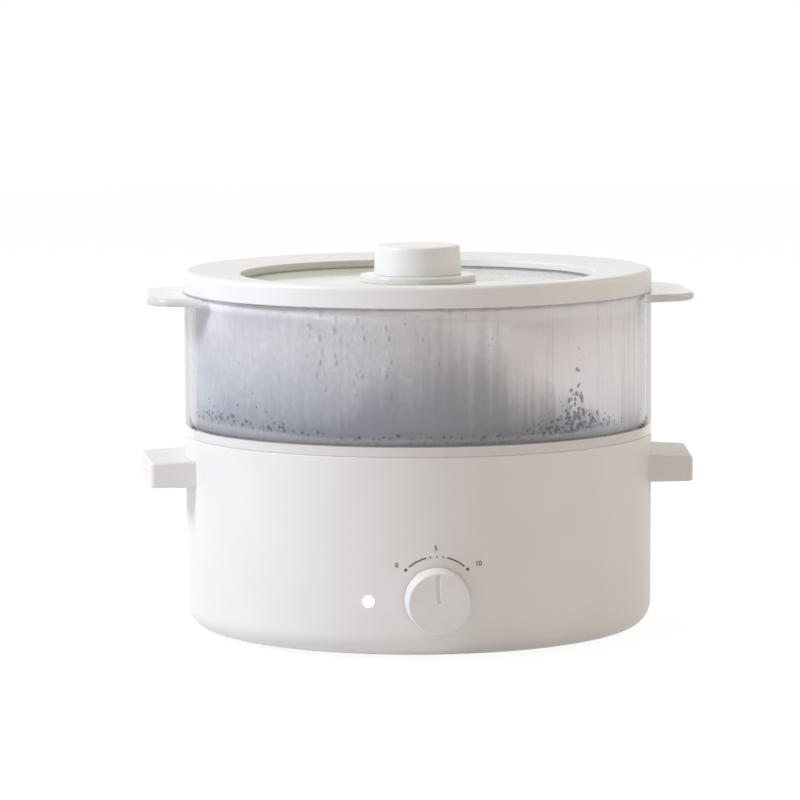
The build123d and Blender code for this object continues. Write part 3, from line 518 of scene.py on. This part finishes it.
nodeFinishes = {
    "housing": ["outer_housing"],
    "handle": ["handle_left", "handle_right"],
    "dial": ["control_knob"],
    "lid": ["lid_ring"],
    "lidKnob": ["lid_knob"],
    "cover": ["bottom_cover"],
    "tier": ["steamer_ring"],
    "glass": ["lid_glass"],
    "collar": ["knob_seat"],
    "lens": ["indicator_lens", "indicator_lamp"],
    "pot": ["inner_pot"],
    "silicone": ["pot_seal", "glass_gasket", "glass_washer"],
    "foot": ["rubber_feet"],
    "tray": ["steam_tray"],
    "sheet": ["heat_shield", "limiter_bracket", "fuse_clip"],
    "screw": [
        "handle_screws", "shield_screws", "limiter_screws", "fuse_screw", "switch_nut", "inlet_screws",
        "cover_screws", "knob_washer", "knob_screw",
    ],
    "shaft": ["switch_shaft"],
    "element": ["heating_element"],
    "brass": ["switch_terminals", "inlet_pins"],
    "fuse": ["thermal_fuse"],
    "resin": ["limiter", "rotary_switch"],
    "inlet": ["power_inlet"],
    "block": ["terminal_block"],
    "board": ["lamp_board"],
}
for key, names in nodeFinishes.items():
    for name in names:
        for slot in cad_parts[name].material_slots:
            slot.material = finishes[key]
print("finishes:", len(finishes), "on", sum(map(len, nodeFinishes.values())), "nodes")


# Meshes and geometry trees

def turnedMesh(name, profile, segments, closed=True):  # turned about Z from (radius, height) points in metres
    mesh = bpy.data.meshes.new(name)
    shape = bmesh.new()
    rings = []
    for radius, height in profile:
        if radius == 0:
            rings.append([shape.verts.new((0, 0, height))] * segments)
            continue
        steps = [2 * math.pi * index / segments for index in range(segments)]
        rings.append([shape.verts.new((radius * math.cos(a), radius * math.sin(a), height)) for a in steps])
    pairs = list(zip(rings, rings[1:])) + ([(rings[-1], rings[0])] if closed else [])
    for low, high in pairs:
        for index in range(segments):
            after = (index + 1) % segments
            corners = [low[index], low[after], high[after], high[index]]
            corners = [corner for at, corner in enumerate(corners) if corner not in corners[:at]]
            if len(corners) > 2:
                shape.faces.new(corners)
    for face in shape.faces:
        face.smooth = True
    shape.to_mesh(mesh)
    shape.free()
    return mesh


def flatShaded(mesh):
    for polygon in mesh.polygons:
        polygon.use_smooth = False
    return mesh


def newTree(name, inputs):
    tree = bpy.data.node_groups.new(name, "GeometryNodeTree")
    tree.interface.new_socket("Geometry", in_out="INPUT", socket_type="NodeSocketGeometry")
    for label, kind in inputs:
        tree.interface.new_socket(label, in_out="INPUT", socket_type="NodeSocket" + kind)
    tree.interface.new_socket("Geometry", in_out="OUTPUT", socket_type="NodeSocketGeometry")
    graph = Graph(tree)
    entry = tree.nodes.new("NodeGroupInput")
    return graph, {socket.name: Signal(graph, socket) for socket in entry.outputs if socket.name}


def closeTree(graph, geometry, finish):
    solid = graph.add("GeometryNodeRealizeInstances", None, {"Geometry": geometry})
    dressed = graph.add("GeometryNodeSetMaterial", None, {"Geometry": solid, "Material": finish})
    exitNode = graph.tree.nodes.new("NodeGroupOutput")
    graph.feed(exitNode.inputs["Geometry"], dressed)
    return graph.tree


def addPiece(name, mesh, finish=None):
    piece = bpy.data.objects.new(name, mesh)
    scene.collection.objects.link(piece)
    if finish:
        mesh.materials.append(finish)
    return piece


def grow(piece, tree, settings):  # runs a geometry tree on the piece and keeps the plain mesh
    modifier = piece.modifiers.new("growth", "NODES")
    modifier.node_group = tree
    for item in tree.interface.items_tree:
        if item.item_type == "SOCKET" and item.in_out == "INPUT" and item.name in settings:
            modifier[item.identifier] = settings[item.name]
    depsgraph = bpy.context.evaluated_depsgraph_get()
    grown = bpy.data.meshes.new_from_object(piece.evaluated_get(depsgraph), depsgraph=depsgraph)
    piece.modifiers.clear()
    piece.data = grown
    print(" ", piece.name, len(grown.polygons), "faces")
    return piece


def belongs(piece, body, slot, *replaced):
    piece.data.transform(Matrix.Translation(potAxis))
    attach(piece, body)
    if replaced:
        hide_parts(*replaced)


# Fog film on the inside of the tier's wall
mistProfile = [
    (tierMist["inner"], tierMist["low"]), (tierMist["outer"], tierMist["low"]),
    (tierMist["outer"], tierMist["high"]), (tierMist["inner"], tierMist["high"]),
]
film = addPiece("tierFog", turnedMesh("tierFog", mistProfile, tierMist["segments"]), finishes["mist"])
belongs(film, "steamer", "clear_tier")


# Water beads on the tier's wall and under the glass
def beadTree():
    graph, given = newTree("waterBeads", [
        ("Density", "Float"), ("Smallest", "Float"), ("Largest", "Float"), ("Sag", "Float"),
        ("Flatness", "Float"), ("Seed", "Int"), ("Finish", "Material"),
    ])
    points = graph.add("GeometryNodeDistributePointsOnFaces", {"distribute_method": "RANDOM"}, {
        "Mesh": given["Geometry"], "Density": given["Density"], "Seed": given["Seed"],
    })
    facing = graph.add("FunctionNodeAlignRotationToVector", {"axis": "Z"}, {"Vector": points.other("Normal")})
    upright = graph.add("FunctionNodeAlignRotationToVector", {"axis": "Y", "pivot_axis": "Z"}, {
        "Rotation": facing, "Vector": (0.0, 0.0, 1.0),
    })
    draw = {2: 0.0, 3: 1.0, "Seed": given["Seed"]}
    chance = graph.add("FunctionNodeRandomValue", {"data_type": "FLOAT"}, draw, output=1)
    size = given["Smallest"] + (given["Largest"] - given["Smallest"]) * chance ** 4.0
    scale = graph.vector(size, size * given["Sag"], size * given["Flatness"])
    ball = graph.add("GeometryNodeMeshUVSphere", None, {"Segments": 8, "Rings": 4, "Radius": 1.0})
    x, y, z = graph.axes(graph.add("GeometryNodeInputPosition"))
    flat = graph.vector(x, y, z.math("MAXIMUM", z, 0.0))
    dome = graph.add("GeometryNodeSetPosition", None, {"Geometry": ball, "Position": flat})
    copies = graph.add("GeometryNodeInstanceOnPoints", None, {
        "Points": points, "Instance": dome, "Rotation": upright, "Scale": scale,
    })
    return closeTree(graph, copies, given["Finish"])


waterBeads = beadTree()
wallBeads = {
    "Density": 42000.0, "Smallest": 0.25 * mm, "Largest": 1.5 * mm, "Sag": 1.35, "Flatness": 0.17, "Seed": 7,
    "Finish": finishes["water"], "start": (tierMist["inner"], tierMist["high"] - 6 * mm),
    "end": (tierMist["inner"], tierMist["low"] + 2 * mm), "segments": 96,
}
glassBeads = {
    "Density": 60000.0, "Smallest": 0.3 * mm, "Largest": 1.6 * mm, "Sag": 1.0, "Flatness": 0.4, "Seed": 19,
    "Finish": finishes["water"], "start": (91.0 * mm, 174.8 * mm), "end": (31 * mm, 174.8 * mm),
    "segments": 96,
}
for name, look, body, slot in (
    ("tierBeads", wallBeads, "steamer", "clear_tier"), ("glassBeads", glassBeads, "lid", "lid_glass"),
):
    surface = turnedMesh(name, [look["start"], look["end"]], look["segments"], closed=False)
    belongs(grow(addPiece(name, surface), waterBeads, look), body, slot)
print("condensation done")


# Dial print round the control knob
dial = {
    "Dial Radius": 21.2 * mm, "Line Width": 0.62 * mm, "Arc Inner": 14.0, "Arc Outer": 40.0,
    "Dot Radius": 0.42 * mm, "Dot Reach": 8.5, "Dot Count": 3, "End Angle": 46.0, "End Radius": 0.75 * mm,
    "Height": 31 * mm, "Shell Radius": 119.573 * mm, "Shell Slope": 0.006054, "Lift": 0.03 * mm,
    "Thickness": 0.06 * mm, "Finish": finishes["ink"],
}


def dialTree():
    graph, given = newTree("dialPrint", [
        ("Dial Radius", "Float"), ("Line Width", "Float"), ("Arc Inner", "Float"), ("Arc Outer", "Float"),
        ("Dot Radius", "Float"), ("Dot Reach", "Float"), ("Dot Count", "Int"), ("End Angle", "Float"),
        ("End Radius", "Float"), ("Height", "Float"), ("Shell Radius", "Float"), ("Shell Slope", "Float"),
        ("Lift", "Float"), ("Thickness", "Float"), ("Finish", "Material"),
    ])
    along, across, depth = graph.axes(graph.add("GeometryNodeInputPosition"))

    def polar(angle, radius):  # degrees clockwise from the top
        turn = angle * (math.pi / 180)
        return graph.vector(turn.math("SINE", turn) * radius, turn.math("COSINE", turn) * radius, 0.0)

    def disc(corners, radius):
        values = {"Vertices": corners, "Radius": radius}
        return graph.add("GeometryNodeMeshCircle", {"fill_type": "NGON"}, values)

    pieces = []
    for side in (-1.0, 1.0):
        strip = graph.add("GeometryNodeMeshGrid", None, {
            "Size X": 1.0, "Size Y": 1.0, "Vertices X": 25, "Vertices Y": 2,
        })
        span = given["Arc Outer"] - given["Arc Inner"]
        angle = (given["Arc Inner"] + (along * side + 0.5) * span) * side
        bent = polar(angle, given["Dial Radius"] + across * given["Line Width"])
        pieces.append(graph.add("GeometryNodeSetPosition", None, {"Geometry": strip, "Position": bent}))
        pieces.append(graph.add("GeometryNodeSetPosition", None, {
            "Geometry": disc(12, given["End Radius"]),
            "Offset": polar(given["End Angle"] * side, given["Dial Radius"]),
        }))
    index = graph.add("GeometryNodeInputIndex")
    row = graph.add("GeometryNodeMeshLine", {"mode": "OFFSET"}, {
        "Count": given["Dot Count"], "Offset": (0.0, 0.0, 0.0),
    })
    last = given["Dot Count"] - 1.0
    dotPlace = polar((index / last * 2.0 - 1.0) * given["Dot Reach"], given["Dial Radius"])
    row = graph.add("GeometryNodeSetPosition", None, {"Geometry": row, "Position": dotPlace})
    pieces.append(graph.add("GeometryNodeInstanceOnPoints", None, {
        "Points": row, "Instance": disc(10, given["Dot Radius"]),
    }))
    flat = graph.add("GeometryNodeRealizeInstances", None, {"Geometry": graph.join(*pieces)})
    raised = graph.add("GeometryNodeExtrudeMesh", {"mode": "FACES"}, {
        "Mesh": flat, "Offset Scale": given["Thickness"], "Individual": False,
    })
    underside = graph.add("GeometryNodeFlipFaces", None, {"Mesh": flat})
    closed = graph.add("GeometryNodeMergeByDistance", None, {
        "Geometry": graph.join(raised, underside), "Distance": weld,
    })
    level = across + given["Height"]
    shell = given["Shell Radius"] + (level - given["Height"]) * given["Shell Slope"]
    reach = (shell * shell - along * along) ** 0.5 + given["Lift"] + depth
    onShell = graph.vector(along, 0.0 - reach, level)
    laid = graph.add("GeometryNodeSetPosition", None, {"Geometry": closed, "Position": onShell})
    return closeTree(graph, laid, given["Finish"])


marks = grow(addPiece("dialMarks", bpy.data.meshes.new("dialMarks")), dialTree(), dial)
belongs(marks, "base", "dark_resin")

dialNumbers = {
    "size": 3.3 * mm, "swell": 0.02 * mm,
    # text, degrees clockwise from the top, distance from the knob's axis
    "places": [("0", -49.0, 26.0 * mm), ("5", -1.0, 25.3 * mm), ("10", 50.0, 27.0 * mm)],
}


def wrapped(point):  # from flat dial coordinates to the housing's surface
    level = dial["Height"] + point.y
    shell = dial["Shell Radius"] + point.y * dial["Shell Slope"]
    return Vector((point.x, -math.sqrt(shell ** 2 - point.x ** 2) - dial["Lift"] - point.z, level))


def numberPiece():
    shape = bmesh.new()
    for text, angle, radius in dialNumbers["places"]:
        curve = bpy.data.curves.new("digits", "FONT")
        curve.body, curve.size = text, dialNumbers["size"]
        curve.align_x, curve.align_y = "CENTER", "CENTER"
        curve.extrude, curve.offset = dial["Thickness"] / 2, dialNumbers["swell"]
        holder = bpy.data.objects.new("digits", curve)
        scene.collection.objects.link(holder)
        bpy.context.view_layer.update()
        depsgraph = bpy.context.evaluated_depsgraph_get()
        digits = bpy.data.meshes.new_from_object(holder.evaluated_get(depsgraph), depsgraph=depsgraph)
        turn = math.radians(angle)
        place = (radius * math.sin(turn), radius * math.cos(turn), dial["Thickness"] / 2)
        digits.transform(Matrix.Translation(place))
        shape.from_mesh(digits)
        bpy.data.objects.remove(holder)
    bmesh.ops.remove_doubles(shape, verts=shape.verts, dist=weld)
    for vertex in shape.verts:
        vertex.co = wrapped(vertex.co)
    bmesh.ops.recalc_face_normals(shape, faces=shape.faces)
    mesh = bpy.data.meshes.new("dialNumbers")
    shape.to_mesh(mesh)
    shape.free()
    return addPiece("dialNumbers", mesh, finishes["ink"])


belongs(numberPiece(), "base", "dark_resin")
print("dial print done")


# Control knob with its pointer cut as a wedge
pointer = {
    # level, width and depth
    "ends": [(14.3 * mm, 2.9 * mm, 0.95 * mm), (0.2 * mm, 0.9 * mm, 0.95 * mm / 3)],
    "ahead": 0.3 * mm, "sharp": 32, "frontArea": 2 * mm * mm, "frontNormal": -0.9999,
}


def wedgeCutter(low, high):  # its edge runs up the knob's face from the middle to the rim
    centre = Vector(((low[0] + high[0]) / 2, low[1], (low[2] + high[2]) / 2))
    ahead = pointer["ahead"]
    shape = bmesh.new()
    for level, width, depth in pointer["ends"]:
        reach = width / 2 * (1 + ahead / depth)  # the sides run on in front of the face
        for x, y in ((-reach, -ahead), (reach, -ahead), (0.0, depth)):
            shape.verts.new(centre + Vector((x, y, level)))
    bmesh.ops.convex_hull(shape, input=shape.verts)
    mesh = bpy.data.meshes.new("wedge")
    shape.to_mesh(mesh)
    shape.free()
    return addPiece("wedge", mesh)


def knobPiece():
    shape = bmesh.new()
    shape.from_mesh(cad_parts["control_knob"].data)
    bmesh.ops.remove_doubles(shape, verts=shape.verts, dist=weld)
    mesh = bpy.data.meshes.new("pointerKnob")
    shape.to_mesh(mesh)
    shape.free()
    piece = addPiece("pointerKnob", mesh, finishes["dial"])
    wedge = wedgeCutter(*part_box("control_knob"))
    cut = piece.modifiers.new("pointer", "BOOLEAN")
    cut.object, cut.solver = wedge, "EXACT"
    depsgraph = bpy.context.evaluated_depsgraph_get()
    piece.data = bpy.data.meshes.new_from_object(piece.evaluated_get(depsgraph), depsgraph=depsgraph)
    piece.modifiers.clear()
    bpy.data.objects.remove(wedge)
    piece.data.shade_smooth()
    piece.data.set_sharp_from_angle(angle=math.radians(pointer["sharp"]))
    rim = set()
    for face in piece.data.polygons:
        if face.normal.y < pointer["frontNormal"] and face.area > pointer["frontArea"]:
            rim.update(face.edge_keys)
    for edge in piece.data.edges:  # the flat front keeps its own shading beside the groove and the rim
        if edge.key in rim:
            edge.use_edge_sharp = True
    print(" ", piece.name, len(piece.data.polygons), "faces")
    return piece


knob = knobPiece()
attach(knob, "dial")
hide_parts("control_knob")
print("knob done")


# Steam tray: a turned sheet with rings of pressed holes
tray = {
    "rings": [(0.0, 1), (26 * mm, 6), (46 * mm, 12), (66 * mm, 18), (86 * mm, 24)],
    "Hole Radius": 3.6 * mm, "Lip Radius": 0.32 * mm, "Sheet Top": 107.8 * mm, "Finish": finishes["tray"],
    "middle": 107.2 * mm, "cutDepth": 6 * mm, "segments": 192,
    "profile": [
        (0, 106.6), (112.2, 106.6), (112.2, 104.2), (113.4, 104.2), (113.4, 106.6), (116.4, 106.6),
        (116.4, 107.3), (116.25, 107.65), (115.9, 107.8), (0, 107.8),
    ],
}


def trayTree():
    graph, given = newTree("pressedTray", [
        ("Hole Radius", "Float"), ("Lip Radius", "Float"), ("Sheet Top", "Float"), ("Finish", "Material"),
    ])
    cutter = graph.add("GeometryNodeMeshCylinder", None, {
        "Vertices": 32, "Radius": given["Hole Radius"], "Depth": tray["cutDepth"],
    })
    path = graph.add("GeometryNodeCurvePrimitiveCircle", {"mode": "RADIUS"}, {
        "Resolution": 32, "Radius": given["Hole Radius"] + given["Lip Radius"],
    })
    section = graph.add("GeometryNodeCurvePrimitiveCircle", {"mode": "RADIUS"}, {
        "Resolution": 6, "Radius": given["Lip Radius"],
    })
    lip = graph.add("GeometryNodeCurveToMesh", None, {"Curve": path, "Profile Curve": section})
    lips, holes = [], []
    for radius, count in tray["rings"]:
        ring = graph.add("GeometryNodeMeshCircle", None, {"Vertices": max(count, 3), "Radius": radius})
        if count == 1:
            ring = graph.add("GeometryNodeMeshLine", {"mode": "OFFSET"}, {"Count": 1})
        ring = graph.add("GeometryNodeTransform", None, {
            "Geometry": ring, "Rotation": (0.0, 0.0, math.pi / count),
            "Translation": (0.0, 0.0, tray["middle"]),
        })
        for rows, copied in ((holes, cutter), (lips, lip)):
            rows.append(graph.add("GeometryNodeInstanceOnPoints", None, {"Points": ring, "Instance": copied}))
    raised = graph.vector(0.0, 0.0, given["Sheet Top"] - tray["middle"])
    lipRow = graph.add("GeometryNodeTransform", None, {"Geometry": graph.join(*lips), "Translation": raised})
    holeRow = graph.add("GeometryNodeRealizeInstances", None, {"Geometry": graph.join(*holes)})
    cut = graph.add("GeometryNodeMeshBoolean", {"operation": "DIFFERENCE", "solver": "EXACT"}, {
        "Mesh 1": given["Geometry"], "Mesh 2": holeRow,
    })
    return closeTree(graph, graph.join(cut, lipRow), given["Finish"])


trayProfile = [(r * mm, z * mm) for r, z in tray["profile"]]
traySheet = flatShaded(turnedMesh("pressedTray", trayProfile, tray["segments"], closed=False))
pressed = grow(addPiece("pressedTray", traySheet), trayTree(), tray)
belongs(pressed, "tray", "tray_steel", "steam_tray")
print("tray done")


# Cross-head screws that show from outside
def screwTree():
    graph, given = newTree("crossHeadScrews", [
        ("Face Radius", "Float"), ("Seat Radius", "Float"), ("Head Height", "Float"),
        ("Shank Radius", "Float"), ("Shank Length", "Float"), ("Recess Width", "Float"),
        ("Recess Length", "Float"), ("Recess Depth", "Float"), ("Count X", "Int"), ("Count Y", "Int"),
        ("Spacing X", "Float"), ("Spacing Y", "Float"),
        ("Place", "Vector"), ("Turn", "Vector"), ("Finish", "Material"),
    ])
    drop = graph.vector(0.0, 0.0, 0.0 - given["Head Height"])
    head = graph.add("GeometryNodeMeshCone", None, {
        "Vertices": 32, "Radius Bottom": given["Face Radius"], "Radius Top": given["Seat Radius"],
        "Depth": given["Head Height"],
    })
    head = graph.add("GeometryNodeTransform", None, {"Geometry": head, "Translation": drop})
    bars = []
    for first, second in (("Recess Width", "Recess Length"), ("Recess Length", "Recess Width")):
        size = graph.vector(given[first], given[second], given["Recess Depth"] * 2.0)
        bars.append(graph.add("GeometryNodeMeshCube", None, {"Size": size}))
    cross = graph.add("GeometryNodeTransform", None, {"Geometry": graph.join(*bars), "Translation": drop})
    head = graph.add("GeometryNodeMeshBoolean", {"operation": "DIFFERENCE", "solver": "EXACT"}, {
        "Mesh 1": head, "Mesh 2": cross, "Self Intersection": True,
    })
    shank = graph.add("GeometryNodeMeshCylinder", None, {
        "Vertices": 24, "Radius": given["Shank Radius"], "Depth": given["Shank Length"],
    })
    rise = graph.vector(0.0, 0.0, given["Shank Length"] / 2.0)
    shank = graph.add("GeometryNodeTransform", None, {"Geometry": shank, "Translation": rise})
    places = graph.add("GeometryNodeMeshGrid", None, {
        "Size X": given["Spacing X"], "Size Y": given["Spacing Y"],
        "Vertices X": given["Count X"], "Vertices Y": given["Count Y"],
    })
    copies = graph.add("GeometryNodeInstanceOnPoints", None, {
        "Points": places, "Instance": graph.join(head, shank),
    })
    turn = graph.add("FunctionNodeEulerToRotation", None, {"Euler": given["Turn"]})
    laid = graph.add("GeometryNodeTransform", None, {
        "Geometry": copies, "Rotation": turn, "Translation": given["Place"],
    })
    return closeTree(graph, laid, given["Finish"])


screwForm = {
    "Face Radius": 2.6 * mm, "Seat Radius": 3.55 * mm, "Head Height": 2.35 * mm, "Shank Radius": 1.88 * mm,
    "Shank Length": 14 * mm, "Recess Width": 0.9 * mm, "Recess Length": 3.6 * mm, "Recess Depth": 1.3 * mm,
    "Count X": 1, "Count Y": 1, "Spacing X": 0.0, "Spacing Y": 0.0, "Turn": (0.0, 0.0, 0.0),
    "Finish": finishes["screw"],
}
screwSets = {
    "coverScrews": ("base", "cover_screws", {
        "Count X": 2, "Count Y": 2, "Spacing X": 187.0 * mm, "Spacing Y": 68.06 * mm,
        "Place": (0.0, 0.0, 5.6 * mm),
    }),
    "lidScrew": ("lid", "knob_screw", {"Shank Length": 18.8 * mm, "Place": (0.0, 0.0, 172.3 * mm)}),
    "inletScrews": ("base", "inlet_screws", {
        "Face Radius": 2.75 * mm, "Seat Radius": 1.38 * mm, "Head Height": 1.88 * mm,
        "Shank Radius": 1.38 * mm, "Shank Length": 4.2 * mm, "Recess Width": 0.7 * mm,
        "Recess Length": 2.9 * mm, "Recess Depth": 1.0 * mm,
        "Count X": 2, "Spacing X": 38.8 * mm, "Place": (0.0, 118.07 * mm, 25 * mm),
        "Turn": (math.pi / 2, 0.0, 0.0),
    }),
}
crossHeadScrews = screwTree()
for name, (body, node, settings) in screwSets.items():
    piece = grow(addPiece(name, bpy.data.meshes.new(name)), crossHeadScrews, {**screwForm, **settings})
    belongs(piece, body, "zinc_screw", node)
print("screws done")


# Rubber feet with moulded rings
foot = {
    "profile": [
        (0, 3.2), (6.95, 3.2), (6.95, 0.9), (6.6, 0.25), (6.1, 0.0), (5.2, 0.0), (5.0, 0.35), (4.2, 0.35),
        (4.0, 0.0), (3.0, 0.0), (2.8, 0.35), (2.0, 0.35), (1.8, 0.0), (0, 0.0),
    ],
    "Spacing X": 113.13 * mm, "Spacing Y": 134.83 * mm, "Finish": finishes["foot"], "segments": 40,
}


def cornerTree():
    graph, given = newTree("fourCorners", [
        ("Spacing X", "Float"), ("Spacing Y", "Float"), ("Finish", "Material"),
    ])
    corners = graph.add("GeometryNodeMeshGrid", None, {
        "Size X": given["Spacing X"], "Size Y": given["Spacing Y"], "Vertices X": 2, "Vertices Y": 2,
    })
    copies = graph.add("GeometryNodeInstanceOnPoints", None, {
        "Points": corners, "Instance": given["Geometry"],
    })
    return closeTree(graph, copies, given["Finish"])


footProfile = [(r * mm, z * mm) for r, z in foot["profile"]]
footMesh = flatShaded(turnedMesh("ringedFeet", footProfile, foot["segments"], closed=False))
feet = grow(addPiece("ringedFeet", footMesh), cornerTree(), foot)
belongs(feet, "base", "foot_rubber", "rubber_feet")
print("feet done")


# Floor, lights and camera
stage = {
    "floorReach": 4.0, "floorSteps": 8, "floor": (0.84, 0.84, 0.84), "floorShade": 0.985,
    "floorSeen": 0.85, "floorGlow": 1.1,
    "sky": (1.0, 0.84, 0.76), "skyStrength": 0.479,
    "lights": {
        "key": {"place": (-1.75, -0.31, 1.50), "size": 0.7, "power": 32.1, "colour": (0.854, 0.955, 1.0)},
        "low": {"place": (-2.25, -0.40, 0.55), "size": 0.7, "power": 5.6, "colour": (0.45, 0.486, 1.0)},
        "fill": {"place": (2.1, 0.2, 0.8), "size": 1.2, "power": 6.4, "colour": (0.9125, 1.0, 0.75)},
        "top": {"place": (0.1, 0.5, 2.2), "size": 1.2, "power": 3.44, "colour": (0.66, 0.79, 1.0)},
    },
    "aim": (0.0, 0.0, 100 * mm),
    "camera": {
        "place": (-0.1640, -2.2262, 0.3534), "turn": 3.9594, "fall": 6.0275, "roll": -0.2807, "lens": 196.59,
        "sensor": 36.0, "near": 0.05, "far": 40.0,
    },
}


def seenRays(graph):  # 1 where the camera sees it, straight or by way of a clear or glossy piece
    rays = graph.add("ShaderNodeLightPath")
    seen = rays.math("MAXIMUM", rays, rays.other("Is Glossy Ray"))
    return seen.math("MAXIMUM", seen, rays.other("Is Transmission Ray"))


def makeFloor():
    shape = bmesh.new()
    steps = stage["floorSteps"]
    bmesh.ops.create_grid(shape, x_segments=steps, y_segments=steps, size=stage["floorReach"])
    mesh = bpy.data.meshes.new("floor")
    shape.to_mesh(mesh)
    shape.free()
    finish = bpy.data.materials.new("paleFloor")
    finish.use_nodes = True
    graph = Graph(finish.node_tree)
    graph.tree.nodes.clear()
    cloud = graph.add("ShaderNodeTexNoise", None, {"Scale": 3.0})
    tone = graph.add("ShaderNodeMix", {"data_type": "RGBA"}, {
        0: cloud, 6: opaque(stage["floor"]), 7: opaque([c * stage["floorShade"] for c in stage["floor"]]),
    }, output=2)
    matte = graph.add("ShaderNodeBsdfDiffuse", None, {"Color": tone})
    glow = graph.add("ShaderNodeEmission", None, {"Color": (1, 1, 1, 1), "Strength": stage["floorGlow"]})
    seen = seenRays(graph) * stage["floorSeen"]
    surface = graph.add("ShaderNodeMixShader", None, {0: seen, 1: matte, 2: glow})
    graph.feed(graph.tree.nodes.new("ShaderNodeOutputMaterial").inputs["Surface"], surface)
    addPiece("floor", mesh, finish)


def makeWorld():
    world = bpy.data.worlds.new("studio")
    world.use_nodes = True
    scene.world = world
    graph = Graph(world.node_tree)
    graph.tree.nodes.clear()
    lit = graph.add("ShaderNodeBackground", None, {
        "Color": opaque(stage["sky"]), "Strength": stage["skyStrength"],
    })
    backdrop = graph.add("ShaderNodeBackground", None, {"Color": (1, 1, 1, 1), "Strength": 1.0})
    surface = graph.add("ShaderNodeMixShader", None, {0: seenRays(graph), 1: lit, 2: backdrop})
    graph.feed(graph.tree.nodes.new("ShaderNodeOutputWorld").inputs["Surface"], surface)


def makeLights():
    centre = Vector(stage["aim"])
    for name, look in stage["lights"].items():
        light = bpy.data.lights.new(name, "AREA")
        light.shape, light.size = "DISK", look["size"]
        light.energy, light.color = look["power"], look["colour"]
        lamp = bpy.data.objects.new(name, light)
        lamp.location = look["place"]
        lamp.rotation_euler = (centre - lamp.location).to_track_quat("-Z", "Y").to_euler()
        scene.collection.objects.link(lamp)


def makeCamera():
    look = stage["camera"]
    camera = bpy.data.cameras.new("camera")
    camera.lens, camera.sensor_width = look["lens"], look["sensor"]
    camera.clip_start, camera.clip_end = look["near"], look["far"]
    holder = bpy.data.objects.new("camera", camera)
    turn = Matrix.Rotation(-math.radians(look["turn"]), 4, "Z")
    fall = Matrix.Rotation(math.pi / 2 - math.radians(look["fall"]), 4, "X")
    roll = Matrix.Rotation(math.radians(look["roll"]), 4, "Z")
    holder.matrix_world = Matrix.Translation(look["place"]) @ turn @ fall @ roll
    scene.collection.objects.link(holder)
    scene.camera = holder


makeFloor()
makeWorld()
makeLights()
makeCamera()
scene.view_settings.view_transform = "Standard"
print("stage done")
